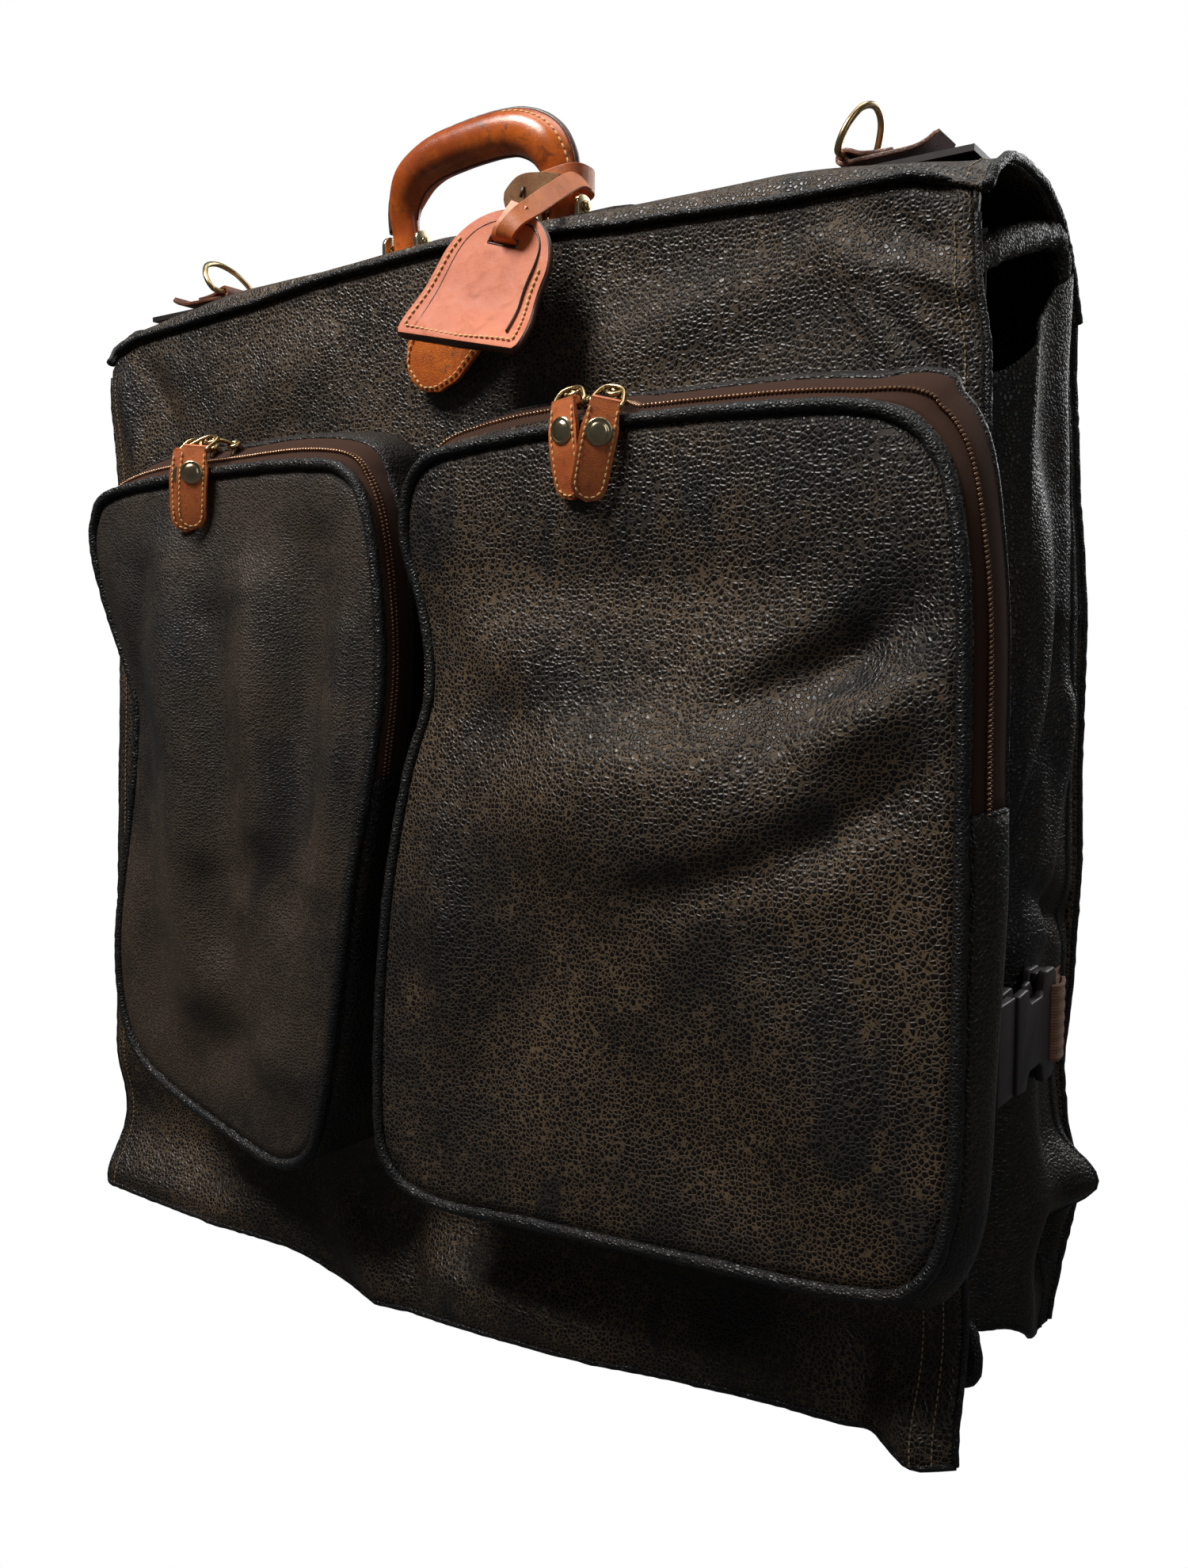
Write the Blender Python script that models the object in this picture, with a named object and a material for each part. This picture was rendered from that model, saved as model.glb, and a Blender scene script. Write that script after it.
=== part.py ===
"""Bifold garment bag with two outside pockets, modelled hanging from its top handle.

Metres, +Z up, front towards -Y. The world origin is the underside of the handle's grip, where a hand or hook
holds the bag. Shapes are laid out in the bag's own frame, whose origin is the middle of the front top seam.
"""

import math

import bmesh
import bpy
from mathutils import Matrix, Vector

# Overall sizes
WIDTH = 0.582
HEIGHT = 0.570
DEPTH = 0.150
SUEDE = 0.003
FIT = 0.0003

# Top (spine)
TOP_RISE = 0.021
REAR_DROP = 0.030
FRONT_SHOULDER = 0.022
REAR_SHOULDER = 0.045
BOARD = 0.003
BOARD_MARGIN = 0.012
BOARD_SHOULDER_GAP = 0.002

# Halves
FRONT_DEPTH = 0.045
FOLD_GAP = 0.015

# Handle
HANDLE_Y = 0.038
PIN_Z = 0.033
PIN_RADIUS = 0.0016
PIN_HOLE_RADIUS = 0.0020
HANDLE_HALF_SPAN = 0.0568
GRIP_UNDERSIDE = 0.0675
GRIP_HALF_THICK = 0.013
LEG_HALF_THICK = 0.0108
LEG_HALF_DEPTH = 0.0045
GRIP_HALF_DEPTH = 0.0125
GRIP_START = 0.0075
CORE_RADIUS = 0.0022
CORE_CLEARANCE = 0.0007
KNUCKLE_RADIUS = 0.0046
KNUCKLE_LENGTH = 0.020
WELT_THICK = 0.0024
WELT_HEIGHT = 0.004
PLATE_HALF_LENGTH = 0.108
PLATE_HALF_WIDTH = 0.018
PLATE_THICK = 0.0018
CLEVIS_BASE = 0.0016
CLEVIS_HALF_WIDTH = 0.0143
EAR_THICK = 0.0024
EAR_HALF_DEPTH = 0.0055
PIN_HEAD = 0.0012
BORE_TOOL_HALF_LENGTH = 0.02

# D-rings and their tabs
RING_X = WIDTH / 2 - 0.0765
RING_WIRE = 0.00175
RING_HALF_WIDTH = 0.019
RING_HEIGHT = 0.027
TAB_THICK = 0.0024
TAB_HALF_WIDTH = 0.013
TAB_LENGTH = 0.047
TAB_CURL = ((0.0, 0.0065), (0.004, 0.0025), (0.010, 0.0005), (0.016, 0.0))  # (from its end, lift)
TAB_EYE_OPENING = -50

# Luggage tag
TAG_SLOT = (0.0513, -0.022, 0.0004)
TAG_LEAN = math.radians(-20)
TAG_TILT = math.radians(18)
TAG_HALF_WIDTH = 0.034
TAG_FLARE = 0.003
TAG_BELOW_SLOT = 0.060
TAG_LEATHER = 0.002
TAG_CORNER = 0.006
TAG_CROWN = 0.0125
CARD_HALF_WIDTH = 0.025
CARD_SPAN = (-0.050, -0.012)
CARD_THICK = 0.0006
SLOT_HALF_WIDTH = 0.009
SLOT_HALF_HEIGHT = 0.0023
TAG_HINGE = (0.0513, -0.014, 0.014)
STRAP_WIDTH = 0.012
STRAP_THICK = 0.0014
STRAP_HEIGHT = 0.0125
STRAP_BAND_HALF = 0.005
STRAP_SLACK = 0.0040
STRAP_CORNER = 0.005
SLEEVE_LENGTH = 0.086
SLEEVE_HALF_WIDTH = 0.021
SLEEVE_TILT = math.radians(38)
SLEEVE_THICK = 0.0035
SLEEVE_Y = -0.0075
SLEEVE_NECK = ((0.007, -0.012), (0.006, -0.006))

# Pockets: left edge, right edge
POCKETS = {"right": (0.010, WIDTH / 2 - 0.003), "left": (0.047 - WIDTH / 2, -0.014)}
POCKET_TOP = -0.096
POCKET_BOTTOM = 0.086 - HEIGHT
POCKET_DEPTH = 0.055
POCKET_WALL = 0.0025
HOLLOW_PAST_SEAM = 0.010
POCKET_TOP_RADIUS = 0.045
POCKET_BOTTOM_RADIUS = 0.032
ZIP_END = -0.2745
ZIP_Y = -0.0353
ZIP_WIDTH = 0.0050
FLAP_GAP = 0.0005

# Zip sliders and pulls: x of each slider
SLIDERS = {"right": (0.1115, 0.1303), "left": (-0.151, -0.133)}
SLIDER_LENGTH = 0.009
SLIDER_DEPTH = 0.008
SLIDER_HEIGHT = 0.0035
BAIL_INNER = 0.0016
BAIL_WIRE = 0.0011
BAIL_WIDTH = 0.004
LINK_WIRE = 0.0009
LINK_CORNER = 0.0010
LINK_HALF_WIDTH = 0.0077
LINK_REACH = 0.0235
LINK_DROP = 0.004
PULL_HALF_WIDTH = 0.0065
PULL_LENGTH = 0.043
PULL_LAYER = 0.0015
PULL_STRAIGHT = 0.004

# Buckles
BUCKLE_Z = -0.390
BUCKLE_STANDOFF = 0.004
BUCKLE_THICK = 0.012
BUCKLE_HALF_HEIGHT = 0.0275
FEMALE_FRONT = 0.0355
FEMALE_LENGTH = 0.0565
MALE_FRONT = 0.014
WEB_HALF_WIDTH = 0.019
WEB_THICK = 0.0014
PRONG_LENGTH = 0.0245
PRONG_HALF_THICK = 0.0022
PRONG_HEIGHT = 0.006
GUIDE_HALF_HEIGHT = 0.004
GUIDE_SHORTER = 0.005
CAVITY_HALF_HEIGHT = 0.0235
CAVITY_HALF_THICK = 0.003
CAVITY_DEPTH = 0.031
WINDOW_SPAN = (0.015, 0.029)
FEMALE_SLOT_BACK = 0.0085
FEMALE_SLOT_SPAN = (-0.0035, 0.0030)
MALE_HALF_THICK = 0.0045
MALE_HALF_HEIGHT = 0.024
MALE_SLOT_SPAN = (0.004, 0.010)
WEB_SLOT_ROOM = 0.001
WEB_STANDOFF = 0.0022
WEB_TAIL = 0.024
WEB_OVER = 0.0017
WEB_FOLD = 0.0065
JOIN = 0.002
THROUGH = 0.02
PRONG_CLEARANCE = 0.003

# Inside
MAIN_ZIP_X = 0.205
MAIN_ZIP_TOP = -0.060
MAIN_ZIP_LENGTH = HEIGHT - 0.090
MAIN_ZIP_HALF_WIDTH = 0.012
MAIN_ZIP_THICK = 0.0012
MAIN_SLIDER_DROP = 0.010
MAIN_SLIDER_LENGTH = 0.012
MAIN_PULL_HALF_WIDTH = 0.005
MAIN_PULL_LENGTH = 0.040
MAIN_PULL_THICK = 0.002
MAIN_PULL_GAP = 0.004
BRACKET_HALF_LENGTH = 0.045
BRACKET_TOP = -0.045
BRACKET_HEIGHT = 0.050
BRACKET_THICK = 0.0025
SHELF_DEPTH = 0.026
CLAMP_HEIGHT = 0.040
CLAMP_CLEARANCE = 0.0008

REAR_START = FRONT_DEPTH + FOLD_GAP
PLATE_TOP = TOP_RISE + FIT + PLATE_THICK

SIDES = (("left", -1), ("right", 1))


def clear_scene():
    for obj in list(bpy.data.objects):
        bpy.data.objects.remove(obj, do_unlink=True)


def material(name, colour, roughness, metallic=0.0):
    made = bpy.data.materials.new(name)
    made.use_nodes = True
    shader = made.node_tree.nodes["Principled BSDF"]
    shader.inputs["Base Color"].default_value = (*colour, 1.0)
    shader.inputs["Roughness"].default_value = roughness
    shader.inputs["Metallic"].default_value = metallic
    return made


def make_materials():
    return {
        "suede": material("suede", (0.034, 0.027, 0.020), 0.55),
        "lining": material("lining", (0.060, 0.045, 0.035), 0.85),
        "board": material("board", (0.050, 0.045, 0.040), 0.80),
        "dark_trim": material("dark_trim", (0.020, 0.013, 0.011), 0.45),
        "handle_leather": material("handle_leather", (0.330, 0.088, 0.018), 0.32),
        "tag_leather": material("tag_leather", (0.600, 0.190, 0.080), 0.42),
        "card": material("card", (0.750, 0.720, 0.640), 0.80),
        "brass": material("brass", (0.600, 0.480, 0.260), 0.25, 1.0),
        "steel": material("steel", (0.420, 0.410, 0.400), 0.35, 1.0),
        "zip_tape": material("zip_tape", (0.055, 0.030, 0.020), 0.80),
        "webbing": material("webbing", (0.420, 0.200, 0.105), 0.80),
        "buckle_plastic": material("buckle_plastic", (0.022, 0.015, 0.014), 0.40),
    }


# Bodies: each moving body has an empty on its joint's axis

BODIES = {}
MATERIALS = {}


def body(name, pivot, parent=None):
    """Adds an empty at a point of the bag's frame; pieces of this body are placed from it."""
    empty = bpy.data.objects.new(f"{name}_axis", None)
    empty.empty_display_size = 0.02
    bpy.context.scene.collection.objects.link(empty)
    base = Vector((0.0, -HANDLE_Y, -GRIP_UNDERSIDE))
    if parent is None:
        empty.location = Vector(pivot) + base
    else:
        empty.parent = BODIES[parent][0]
        empty.location = Vector(pivot) - BODIES[parent][1]
    BODIES[name] = (empty, Vector(pivot))


def place(obj, owner, at=(0, 0, 0), rotation=(0, 0, 0)):
    """Puts the object's own origin at a point of the bag's frame, under its body's empty."""
    empty, pivot = BODIES[owner]
    obj.parent = empty
    obj.location = Vector(at) - pivot
    obj.rotation_euler = rotation
    return obj


# Shapes


def mesh_object(name, verts, faces, slot, smooth=None):
    mesh = bpy.data.meshes.new(name)
    mesh.from_pydata([tuple(v) for v in verts], [], faces)
    solid = bmesh.new()
    solid.from_mesh(mesh)
    bmesh.ops.recalc_face_normals(solid, faces=solid.faces)
    solid.to_mesh(mesh)
    solid.free()
    obj = bpy.data.objects.new(name, mesh)
    bpy.context.scene.collection.objects.link(obj)
    if slot:
        mesh.materials.append(MATERIALS[slot])
    if smooth:
        mesh.shade_smooth()
        mesh.set_sharp_from_angle(angle=math.radians(smooth))
    return obj


def at_axis(axis, u, v, w):
    """A point with u and v across the extrusion axis and w along it."""
    return {"X": (w, u, v), "Y": (u, w, v), "Z": (u, v, w)}[axis]


def extrude(name, outline, axis, low, high, slot, smooth=None):
    """A prism: a closed outline of (u, v) points drawn out along an axis."""
    count = len(outline)
    verts = [at_axis(axis, u, v, low) for u, v in outline]
    verts += [at_axis(axis, u, v, high) for u, v in outline]
    faces = [tuple(range(count)), tuple(range(2 * count - 1, count - 1, -1))]
    for i in range(count):
        j = (i + 1) % count
        faces.append((i, i + count, j + count, j))
    return mesh_object(name, verts, faces, slot, smooth)


def ring_plate(name, outer, inner, axis, low, high, slot, smooth=None):
    """A prism with a hole: outer and inner outlines have the same number of points."""
    count = len(outer)
    verts = [at_axis(axis, u, v, w) for w in (low, high) for u, v in outer + inner]
    faces = []
    for i in range(count):
        j = (i + 1) % count
        lower = (i, j, j + count, i + count)
        upper = tuple(k + 2 * count for k in lower)
        faces += [lower, upper[::-1]]
        faces.append((i, i + 2 * count, j + 2 * count, j))
        faces.append((i + count, j + count, j + 3 * count, i + 3 * count))
    return mesh_object(name, verts, faces, slot, smooth)


def box(name, low, high, slot):
    outline = [(low[0], low[1]), (high[0], low[1]), (high[0], high[1]), (low[0], high[1])]
    return extrude(name, outline, "Z", low[2], high[2], slot)


def cylinder_x(name, radius, half_length, slot, sides=16):
    outline = [(radius * math.cos(a), radius * math.sin(a)) for a in turn(sides)]
    return extrude(name, outline, "X", -half_length, half_length, slot, 40)


def turn(steps):
    return [2 * math.pi * i / steps for i in range(steps)]


def arc(centre, radius, start, end, steps):
    """Points on a circle, with angles in degrees."""
    angles = [math.radians(start + (end - start) * i / steps) for i in range(steps + 1)]
    return [(centre[0] + radius * math.cos(a), centre[1] + radius * math.sin(a)) for a in angles]


def thick_line(points, half):
    """The closed outline of a line with a thickness."""
    line = [Vector(p) for p in points]
    left, right = [], []
    for i, point in enumerate(line):
        before = line[max(i - 1, 0)]
        after = line[min(i + 1, len(line) - 1)]
        back = (point - before).normalized() if i else (after - point).normalized()
        ahead = (after - point).normalized() if i < len(line) - 1 else back
        across = Vector((-(back + ahead).y, (back + ahead).x)).normalized()
        reach = half / max(across.dot(Vector((-back.y, back.x))), 0.4)
        left.append(tuple(point + across * reach))
        right.append(tuple(point - across * reach))
    return left + right[::-1]


def sweep(name, path, sections, slot, closed=False, hole=None, smooth=40):
    """A tube: one ring of points for each path point. With a hole, an inner ring is swept too."""
    rings = [sections] if hole is None else [sections, hole]
    verts, faces = [], []
    stations = len(path)
    for loops in rings:
        for ring in loops:
            verts += ring
    start = 0
    for loops in rings:
        sides = len(loops[0])
        last = stations if closed else stations - 1
        for s in range(last):
            a = start + s * sides
            b = start + ((s + 1) % stations) * sides
            for k in range(sides):
                m = (k + 1) % sides
                faces.append((a + k, a + m, b + m, b + k))
        start += stations * sides
    if not closed:
        sides = len(sections[0])
        if hole is None:
            faces.append(tuple(range(sides)))
            faces.append(tuple(range((stations - 1) * sides, stations * sides)))
        else:
            for s in (0, stations - 1):
                for k in range(sides):
                    m = (k + 1) % sides
                    a = s * sides
                    b = stations * sides + s * sides
                    faces.append((a + k, a + m, b + m, b + k))
    return mesh_object(name, verts, faces, slot, smooth)


def frames_along(path, side, closed=False):
    """For each path point, two unit vectors across it: one near the side vector, one square to both."""
    found = []
    count = len(path)
    for i in range(count):
        before = path[i - 1] if closed or i else path[0]
        after = path[(i + 1) % count] if closed or i < count - 1 else path[-1]
        along = (after - before).normalized()
        across = (side - along * side.dot(along)).normalized()
        found.append((across, along.cross(across)))
    return found


def wire(name, path, side, radius, slot, closed=False, sides=8):
    """A round wire along a path."""
    sections = []
    for point, (across, up) in zip(path, frames_along(path, side, closed)):
        ring = [point + (across * math.cos(a) + up * math.sin(a)) * radius for a in turn(sides)]
        sections.append(ring)
    return sweep(name, path, sections, slot, closed)


def ribbon(name, path, side, half_width, half_thick, slot):
    """A flat strap along a path, its width along the side vector."""
    sections = []
    corners = ((1, 1), (-1, 1), (-1, -1), (1, -1))
    for point, (across, up) in zip(path, frames_along(path, side)):
        ring = [point + across * (a * half_width) + up * (b * half_thick) for a, b in corners]
        sections.append(ring)
    return sweep(name, path, sections, slot, smooth=None)


def boolean(obj, other, operation):
    """Joins or cuts with another mesh, which stays as a hidden tool."""
    other.parent = obj.parent
    other.location = obj.location
    other.rotation_euler = obj.rotation_euler
    other.hide_render = True
    other.display_type = "WIRE"
    modifier = obj.modifiers.new(operation.lower(), "BOOLEAN")
    modifier.operation = operation
    modifier.solver = "EXACT"
    modifier.object = other
    return obj


# Top


def cover_profile():
    """The arch over the top, from the front seam to the rear seam, as (y, z) points of its outer face."""
    rear_height = TOP_RISE + REAR_DROP
    front = [
        (FRONT_SHOULDER * (1 - math.cos(a)), TOP_RISE * math.sin(a))
        for a in [math.pi / 2 * i / 6 for i in range(7)]
    ]
    rear = [
        (DEPTH - REAR_SHOULDER * (1 - math.sin(a)), -REAR_DROP + rear_height * math.cos(a))
        for a in [math.pi / 2 * i / 7 for i in range(8)]
    ]
    return front, rear


def make_top():
    front, rear = cover_profile()
    outer = front + rear
    inner = []
    for i, (y, z) in enumerate(outer):
        before, after = outer[max(i - 1, 0)], outer[min(i + 1, len(outer) - 1)]
        along = Vector((after[0] - before[0], after[1] - before[1])).normalized()
        inner.append((y + along.y * SUEDE, z - along.x * SUEDE))
    inner[0] = (SUEDE, outer[0][1])
    inner[-1] = (DEPTH - SUEDE, outer[-1][1])
    outline = outer + inner[::-1]
    place(extrude("top_cover", outline, "X", -WIDTH / 2, WIDTH / 2, "suede", 50), "spine")

    board_top = TOP_RISE - SUEDE - FIT
    half = WIDTH / 2 - BOARD_MARGIN
    low = (-half, FRONT_SHOULDER + BOARD_SHOULDER_GAP, board_top - BOARD)
    high = (half, DEPTH - REAR_SHOULDER - BOARD_SHOULDER_GAP, board_top)
    place(box("top_board", low, high, "board"), "spine")

    ends = [
        arc((PLATE_HALF_LENGTH - PLATE_HALF_WIDTH, 0), PLATE_HALF_WIDTH, -90, 90, 6),
        arc((-PLATE_HALF_LENGTH + PLATE_HALF_WIDTH, 0), PLATE_HALF_WIDTH, 90, 270, 6),
    ]
    plate = extrude("handle_plate", ends[0] + ends[1], "Z", 0, PLATE_THICK, "dark_trim")
    place(plate, "spine", (0, HANDLE_Y, TOP_RISE + FIT))
    for side, sign in SIDES:
        make_clevis(side, sign)
        make_ring_tab(side, sign)


def make_clevis(side, sign):
    """A brass U bracket: a base with two ears, and the pin through them."""
    base_z = PLATE_TOP + FIT
    rise = PIN_Z - base_z
    inner = CLEVIS_HALF_WIDTH - EAR_THICK
    outline = [
        (-CLEVIS_HALF_WIDTH, -rise),
        (CLEVIS_HALF_WIDTH, -rise),
        (CLEVIS_HALF_WIDTH, EAR_HALF_DEPTH),
        (inner, EAR_HALF_DEPTH),
        (inner, -rise + CLEVIS_BASE),
        (-inner, -rise + CLEVIS_BASE),
        (-inner, EAR_HALF_DEPTH),
        (-CLEVIS_HALF_WIDTH, EAR_HALF_DEPTH),
    ]
    name = f"handle_clevis_{side}"
    at = (sign * HANDLE_HALF_SPAN, HANDLE_Y, PIN_Z)
    clevis = extrude(name, outline, "Y", -EAR_HALF_DEPTH, EAR_HALF_DEPTH, "brass")
    place(clevis, "spine", at)
    hole = cylinder_x(f"{name}_hole", PIN_HOLE_RADIUS, BORE_TOOL_HALF_LENGTH, None, 12)
    boolean(clevis, hole, "DIFFERENCE")
    pin = cylinder_x(f"handle_pin_{side}", PIN_RADIUS, CLEVIS_HALF_WIDTH + PIN_HEAD, "brass", 12)
    place(pin, "spine", at)


def make_ring_tab(side, sign):
    """A leather tab on the top: a curled outer end, and an eye round the ring's bar at its inner end."""
    level = TOP_RISE + FIT + TAB_THICK / 2
    eye = RING_WIRE + FIT + TAB_THICK / 2
    bar_z = level + eye
    strip = [(RING_X + TAB_LENGTH - back, level + lift) for back, lift in TAB_CURL]
    curl = arc((RING_X, bar_z), eye, 270, TAB_EYE_OPENING, 12)
    outline = [(sign * x, z) for x, z in thick_line(strip + curl, TAB_THICK / 2)]
    name = f"ring_tab_{side}"
    tab = extrude(name, outline, "Y", -TAB_HALF_WIDTH, TAB_HALF_WIDTH, "handle_leather", 50)
    place(tab, "spine", (0, HANDLE_Y, 0))

    body(f"d_ring_{side}", (sign * RING_X, HANDLE_Y, bar_z), "spine")
    bow = [math.pi * i / 14 for i in range(15)]
    path = [Vector((0, RING_HALF_WIDTH * math.cos(a), RING_HEIGHT * math.sin(a))) for a in bow]
    ring = wire(f"d_ring_{side}", path, Vector((1, 0, 0)), RING_WIRE, "brass", True, 8)
    place(ring, f"d_ring_{side}", (sign * RING_X, HANDLE_Y, bar_z))


# Handle


def grip_line(steps):
    """The middle of the arched grip as (x, z) from the pins' centre, evenly spaced, left leg to right leg."""
    rise = GRIP_UNDERSIDE + GRIP_HALF_THICK - PIN_Z
    squareness = 2 / 2.5
    fine = []
    for i in range(401):
        a = math.pi * (1 - i / 400)
        x = math.copysign(abs(math.cos(a)) ** squareness, math.cos(a)) * HANDLE_HALF_SPAN
        fine.append(Vector((x, max(math.sin(a), 0.0) ** squareness * rise)))
    lengths = [0.0]
    for a, b in zip(fine, fine[1:]):
        lengths.append(lengths[-1] + (b - a).length)
    first = GRIP_START
    last = lengths[-1] - GRIP_START
    line, k = [], 0
    for s in range(steps + 1):
        goal = first + (last - first) * s / steps
        while lengths[k + 1] < goal:
            k += 1
        share = (goal - lengths[k]) / (lengths[k + 1] - lengths[k])
        line.append(fine[k].lerp(fine[k + 1], share))
    return line


def grip_half_sizes(share):
    """Half thickness in the arch's plane and half depth across it, by the share of the way along the grip."""
    fullness = min(1.0, math.sin(math.pi * share) * 1.7)
    thick = LEG_HALF_THICK + (GRIP_HALF_THICK - LEG_HALF_THICK) * fullness
    depth = LEG_HALF_DEPTH + (GRIP_HALF_DEPTH - LEG_HALF_DEPTH) * fullness
    return thick, depth


def make_handle():
    steps = 20
    path = [Vector((p.x, 0, p.y)) for p in grip_line(steps)]
    depth_way = Vector((0, 1, 0))
    across = frames_along(path, depth_way)
    outer, hole, welt = [], [], []
    for i, (point, (way, out)) in enumerate(zip(path, across)):
        if out.dot(point - Vector((0, 0, 0.01))) < 0:
            out = -out
        thick, depth = grip_half_sizes(i / steps)
        outer.append([point + way * (depth * math.cos(a)) + out * (thick * math.sin(a)) for a in turn(12)])
        hole.append(
            [point + (way * math.cos(a) + out * math.sin(a)) * (CORE_RADIUS + CORE_CLEARANCE) for a in turn(12)]
        )
        root = thick + FIT
        half = WELT_THICK / 2
        corners = ((-half, root), (half, root), (half, root + WELT_HEIGHT), (-half, root + WELT_HEIGHT))
        welt.append([point + way * a + out * b for a, b in corners])
    grip = sweep("handle_grip", path, outer, "handle_leather", hole=hole, smooth=60)
    place(grip, "handle", (0, HANDLE_Y, PIN_Z))
    inside = slice(2, steps - 1)
    strip = sweep("handle_welt", path[inside], welt[inside], "dark_trim", smooth=None)
    place(strip, "handle", (0, HANDLE_Y, PIN_Z))
    make_core(path)


def make_core(path):
    """The steel core: a bent rod inside the grip, with a knuckle on each end that turns on the pin."""
    ends = [Vector((path[0].x, 0, 0.002)), Vector((path[-1].x, 0, 0.002))]
    rod_path = [ends[0]] + path + [ends[1]]
    core = wire("handle_core", rod_path, Vector((0, 1, 0)), CORE_RADIUS, "steel")
    place(core, "handle", (0, HANDLE_Y, PIN_Z))
    for side, sign in SIDES:
        knuckle = cylinder_x(f"core_knuckle_{side}", KNUCKLE_RADIUS, KNUCKLE_LENGTH / 2, None)
        knuckle.data.transform(Matrix.Translation((sign * HANDLE_HALF_SPAN, 0, 0)))
        boolean(core, knuckle, "UNION")
    for side, sign in SIDES:
        hole = cylinder_x(f"core_hole_{side}", PIN_HOLE_RADIUS, KNUCKLE_LENGTH, None, 12)
        hole.data.transform(Matrix.Translation((sign * HANDLE_HALF_SPAN, 0, 0)))
        boolean(core, hole, "DIFFERENCE")


def make_strap():
    """The tag's strap: a band round the handle's right leg and a tail that comes down to the tag."""
    half_x, half_y = LEG_HALF_THICK + STRAP_SLACK, GRIP_HALF_DEPTH - 0.0005
    inner_outline = rounded_rectangle(-half_x, half_x, -half_y, half_y, STRAP_CORNER, STRAP_CORNER, 3)
    wide_x, wide_y, corner = half_x + STRAP_THICK, half_y + STRAP_THICK, STRAP_CORNER + STRAP_THICK
    outer_outline = rounded_rectangle(-wide_x, wide_x, -wide_y, wide_y, corner, corner, 3)
    low, high = -STRAP_BAND_HALF, STRAP_BAND_HALF
    band = ring_plate("tag_strap", outer_outline, inner_outline, "Z", low, high, "tag_leather")
    at = Vector((HANDLE_HALF_SPAN - 0.0018, HANDLE_Y, PIN_Z + STRAP_HEIGHT))
    place(band, "handle", at)
    end = Vector((TAG_SLOT[0] + 0.0065, TAG_SLOT[1] - 0.0005, TAG_SLOT[2] + 0.0285))
    start = Vector((HANDLE_HALF_SPAN + 0.004, HANDLE_Y - half_y - STRAP_THICK / 2, at.z - 0.001))
    mid = start.lerp(end, 0.5) + Vector((0, -0.001, 0.003))
    path = [p - at for p in (start, mid, end)]
    tail = ribbon("tag_strap_tail", path, Vector((0.8, 0, -0.45)), STRAP_WIDTH / 2, STRAP_THICK / 2, None)
    boolean(band, tail, "UNION")


def rounded_rectangle(left, right, low, high, low_radius, high_radius, steps):
    """Counter-clockwise outline, with one radius for the low corners and one for the high ones."""
    points = arc((left + low_radius, low + low_radius), low_radius, 180, 270, steps)
    points += arc((right - low_radius, low + low_radius), low_radius, 270, 360, steps)
    points += arc((right - high_radius, high - high_radius), high_radius, 0, 90, steps)
    points += arc((left + high_radius, high - high_radius), high_radius, 90, 180, steps)
    return points


# Luggage tag


def tag_outline():
    low = -TAG_BELOW_SLOT
    shoulder = SLOT_HALF_HEIGHT * 2 + TAG_CROWN - TAG_HALF_WIDTH
    wide = TAG_HALF_WIDTH + TAG_FLARE
    corner = TAG_CORNER
    points = arc((-wide + corner, low + corner), corner, 180, 270, 3)
    points += arc((wide - corner, low + corner), corner, 270, 360, 3)
    return points + arc((0, shoulder), TAG_HALF_WIDTH, 0, 180, 12)


def make_tag():
    turn_tag = (TAG_LEAN, TAG_TILT, 0)
    gap = CARD_THICK / 2 + FIT
    for name, low in (("tag_front", -gap - TAG_LEATHER), ("tag_back", gap)):
        leaf = extrude(name, tag_outline(), "Y", low, low + TAG_LEATHER, "tag_leather")
        place(leaf, "tag", TAG_SLOT, turn_tag)
        low_corner = (-SLOT_HALF_WIDTH, -0.01, -SLOT_HALF_HEIGHT)
        high_corner = (SLOT_HALF_WIDTH, 0.01, SLOT_HALF_HEIGHT)
        boolean(leaf, box(f"{name}_slot", low_corner, high_corner, None), "DIFFERENCE")
    half = CARD_THICK / 2
    low, high = CARD_SPAN
    card = box("name_card", (-CARD_HALF_WIDTH, -half, low), (CARD_HALF_WIDTH, half, high), "card")
    place(card, "tag", TAG_SLOT, turn_tag)
    way = Vector((1, 0, 0))
    path = [
        Vector(p)
        for p in (
            (0.004, -0.0010, 0.0255),
            (0.003, -0.0048, 0.0185),
            (0.001, -0.0060, 0.0085),
            (0.000, -0.0052, 0.0025),
            (0.000, -0.0030, 0.0000),
            (0.000, 0.0046, 0.0000),
        )
    ]
    strap = ribbon("tag_strap_end", path, way, STRAP_WIDTH / 2, STRAP_THICK / 2, "tag_leather")
    place(strap, "tag", TAG_SLOT, turn_tag)
    make_sleeve()


def make_sleeve():
    """The key sleeve behind the tag: a flat teardrop."""
    round_z = -SLEEVE_LENGTH + SLEEVE_HALF_WIDTH
    outline = arc((0, round_z), SLEEVE_HALF_WIDTH, 180, 360, 10)
    outline += list(SLEEVE_NECK) + [(-x, z) for x, z in SLEEVE_NECK[::-1]]
    half = SLEEVE_THICK / 2
    sleeve = extrude("key_sleeve", outline, "Y", -half, half, "handle_leather")
    place(sleeve, "tag", (TAG_SLOT[0], SLEEVE_Y, TAG_SLOT[2]), (0, SLEEVE_TILT, 0))


# Halves


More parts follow.
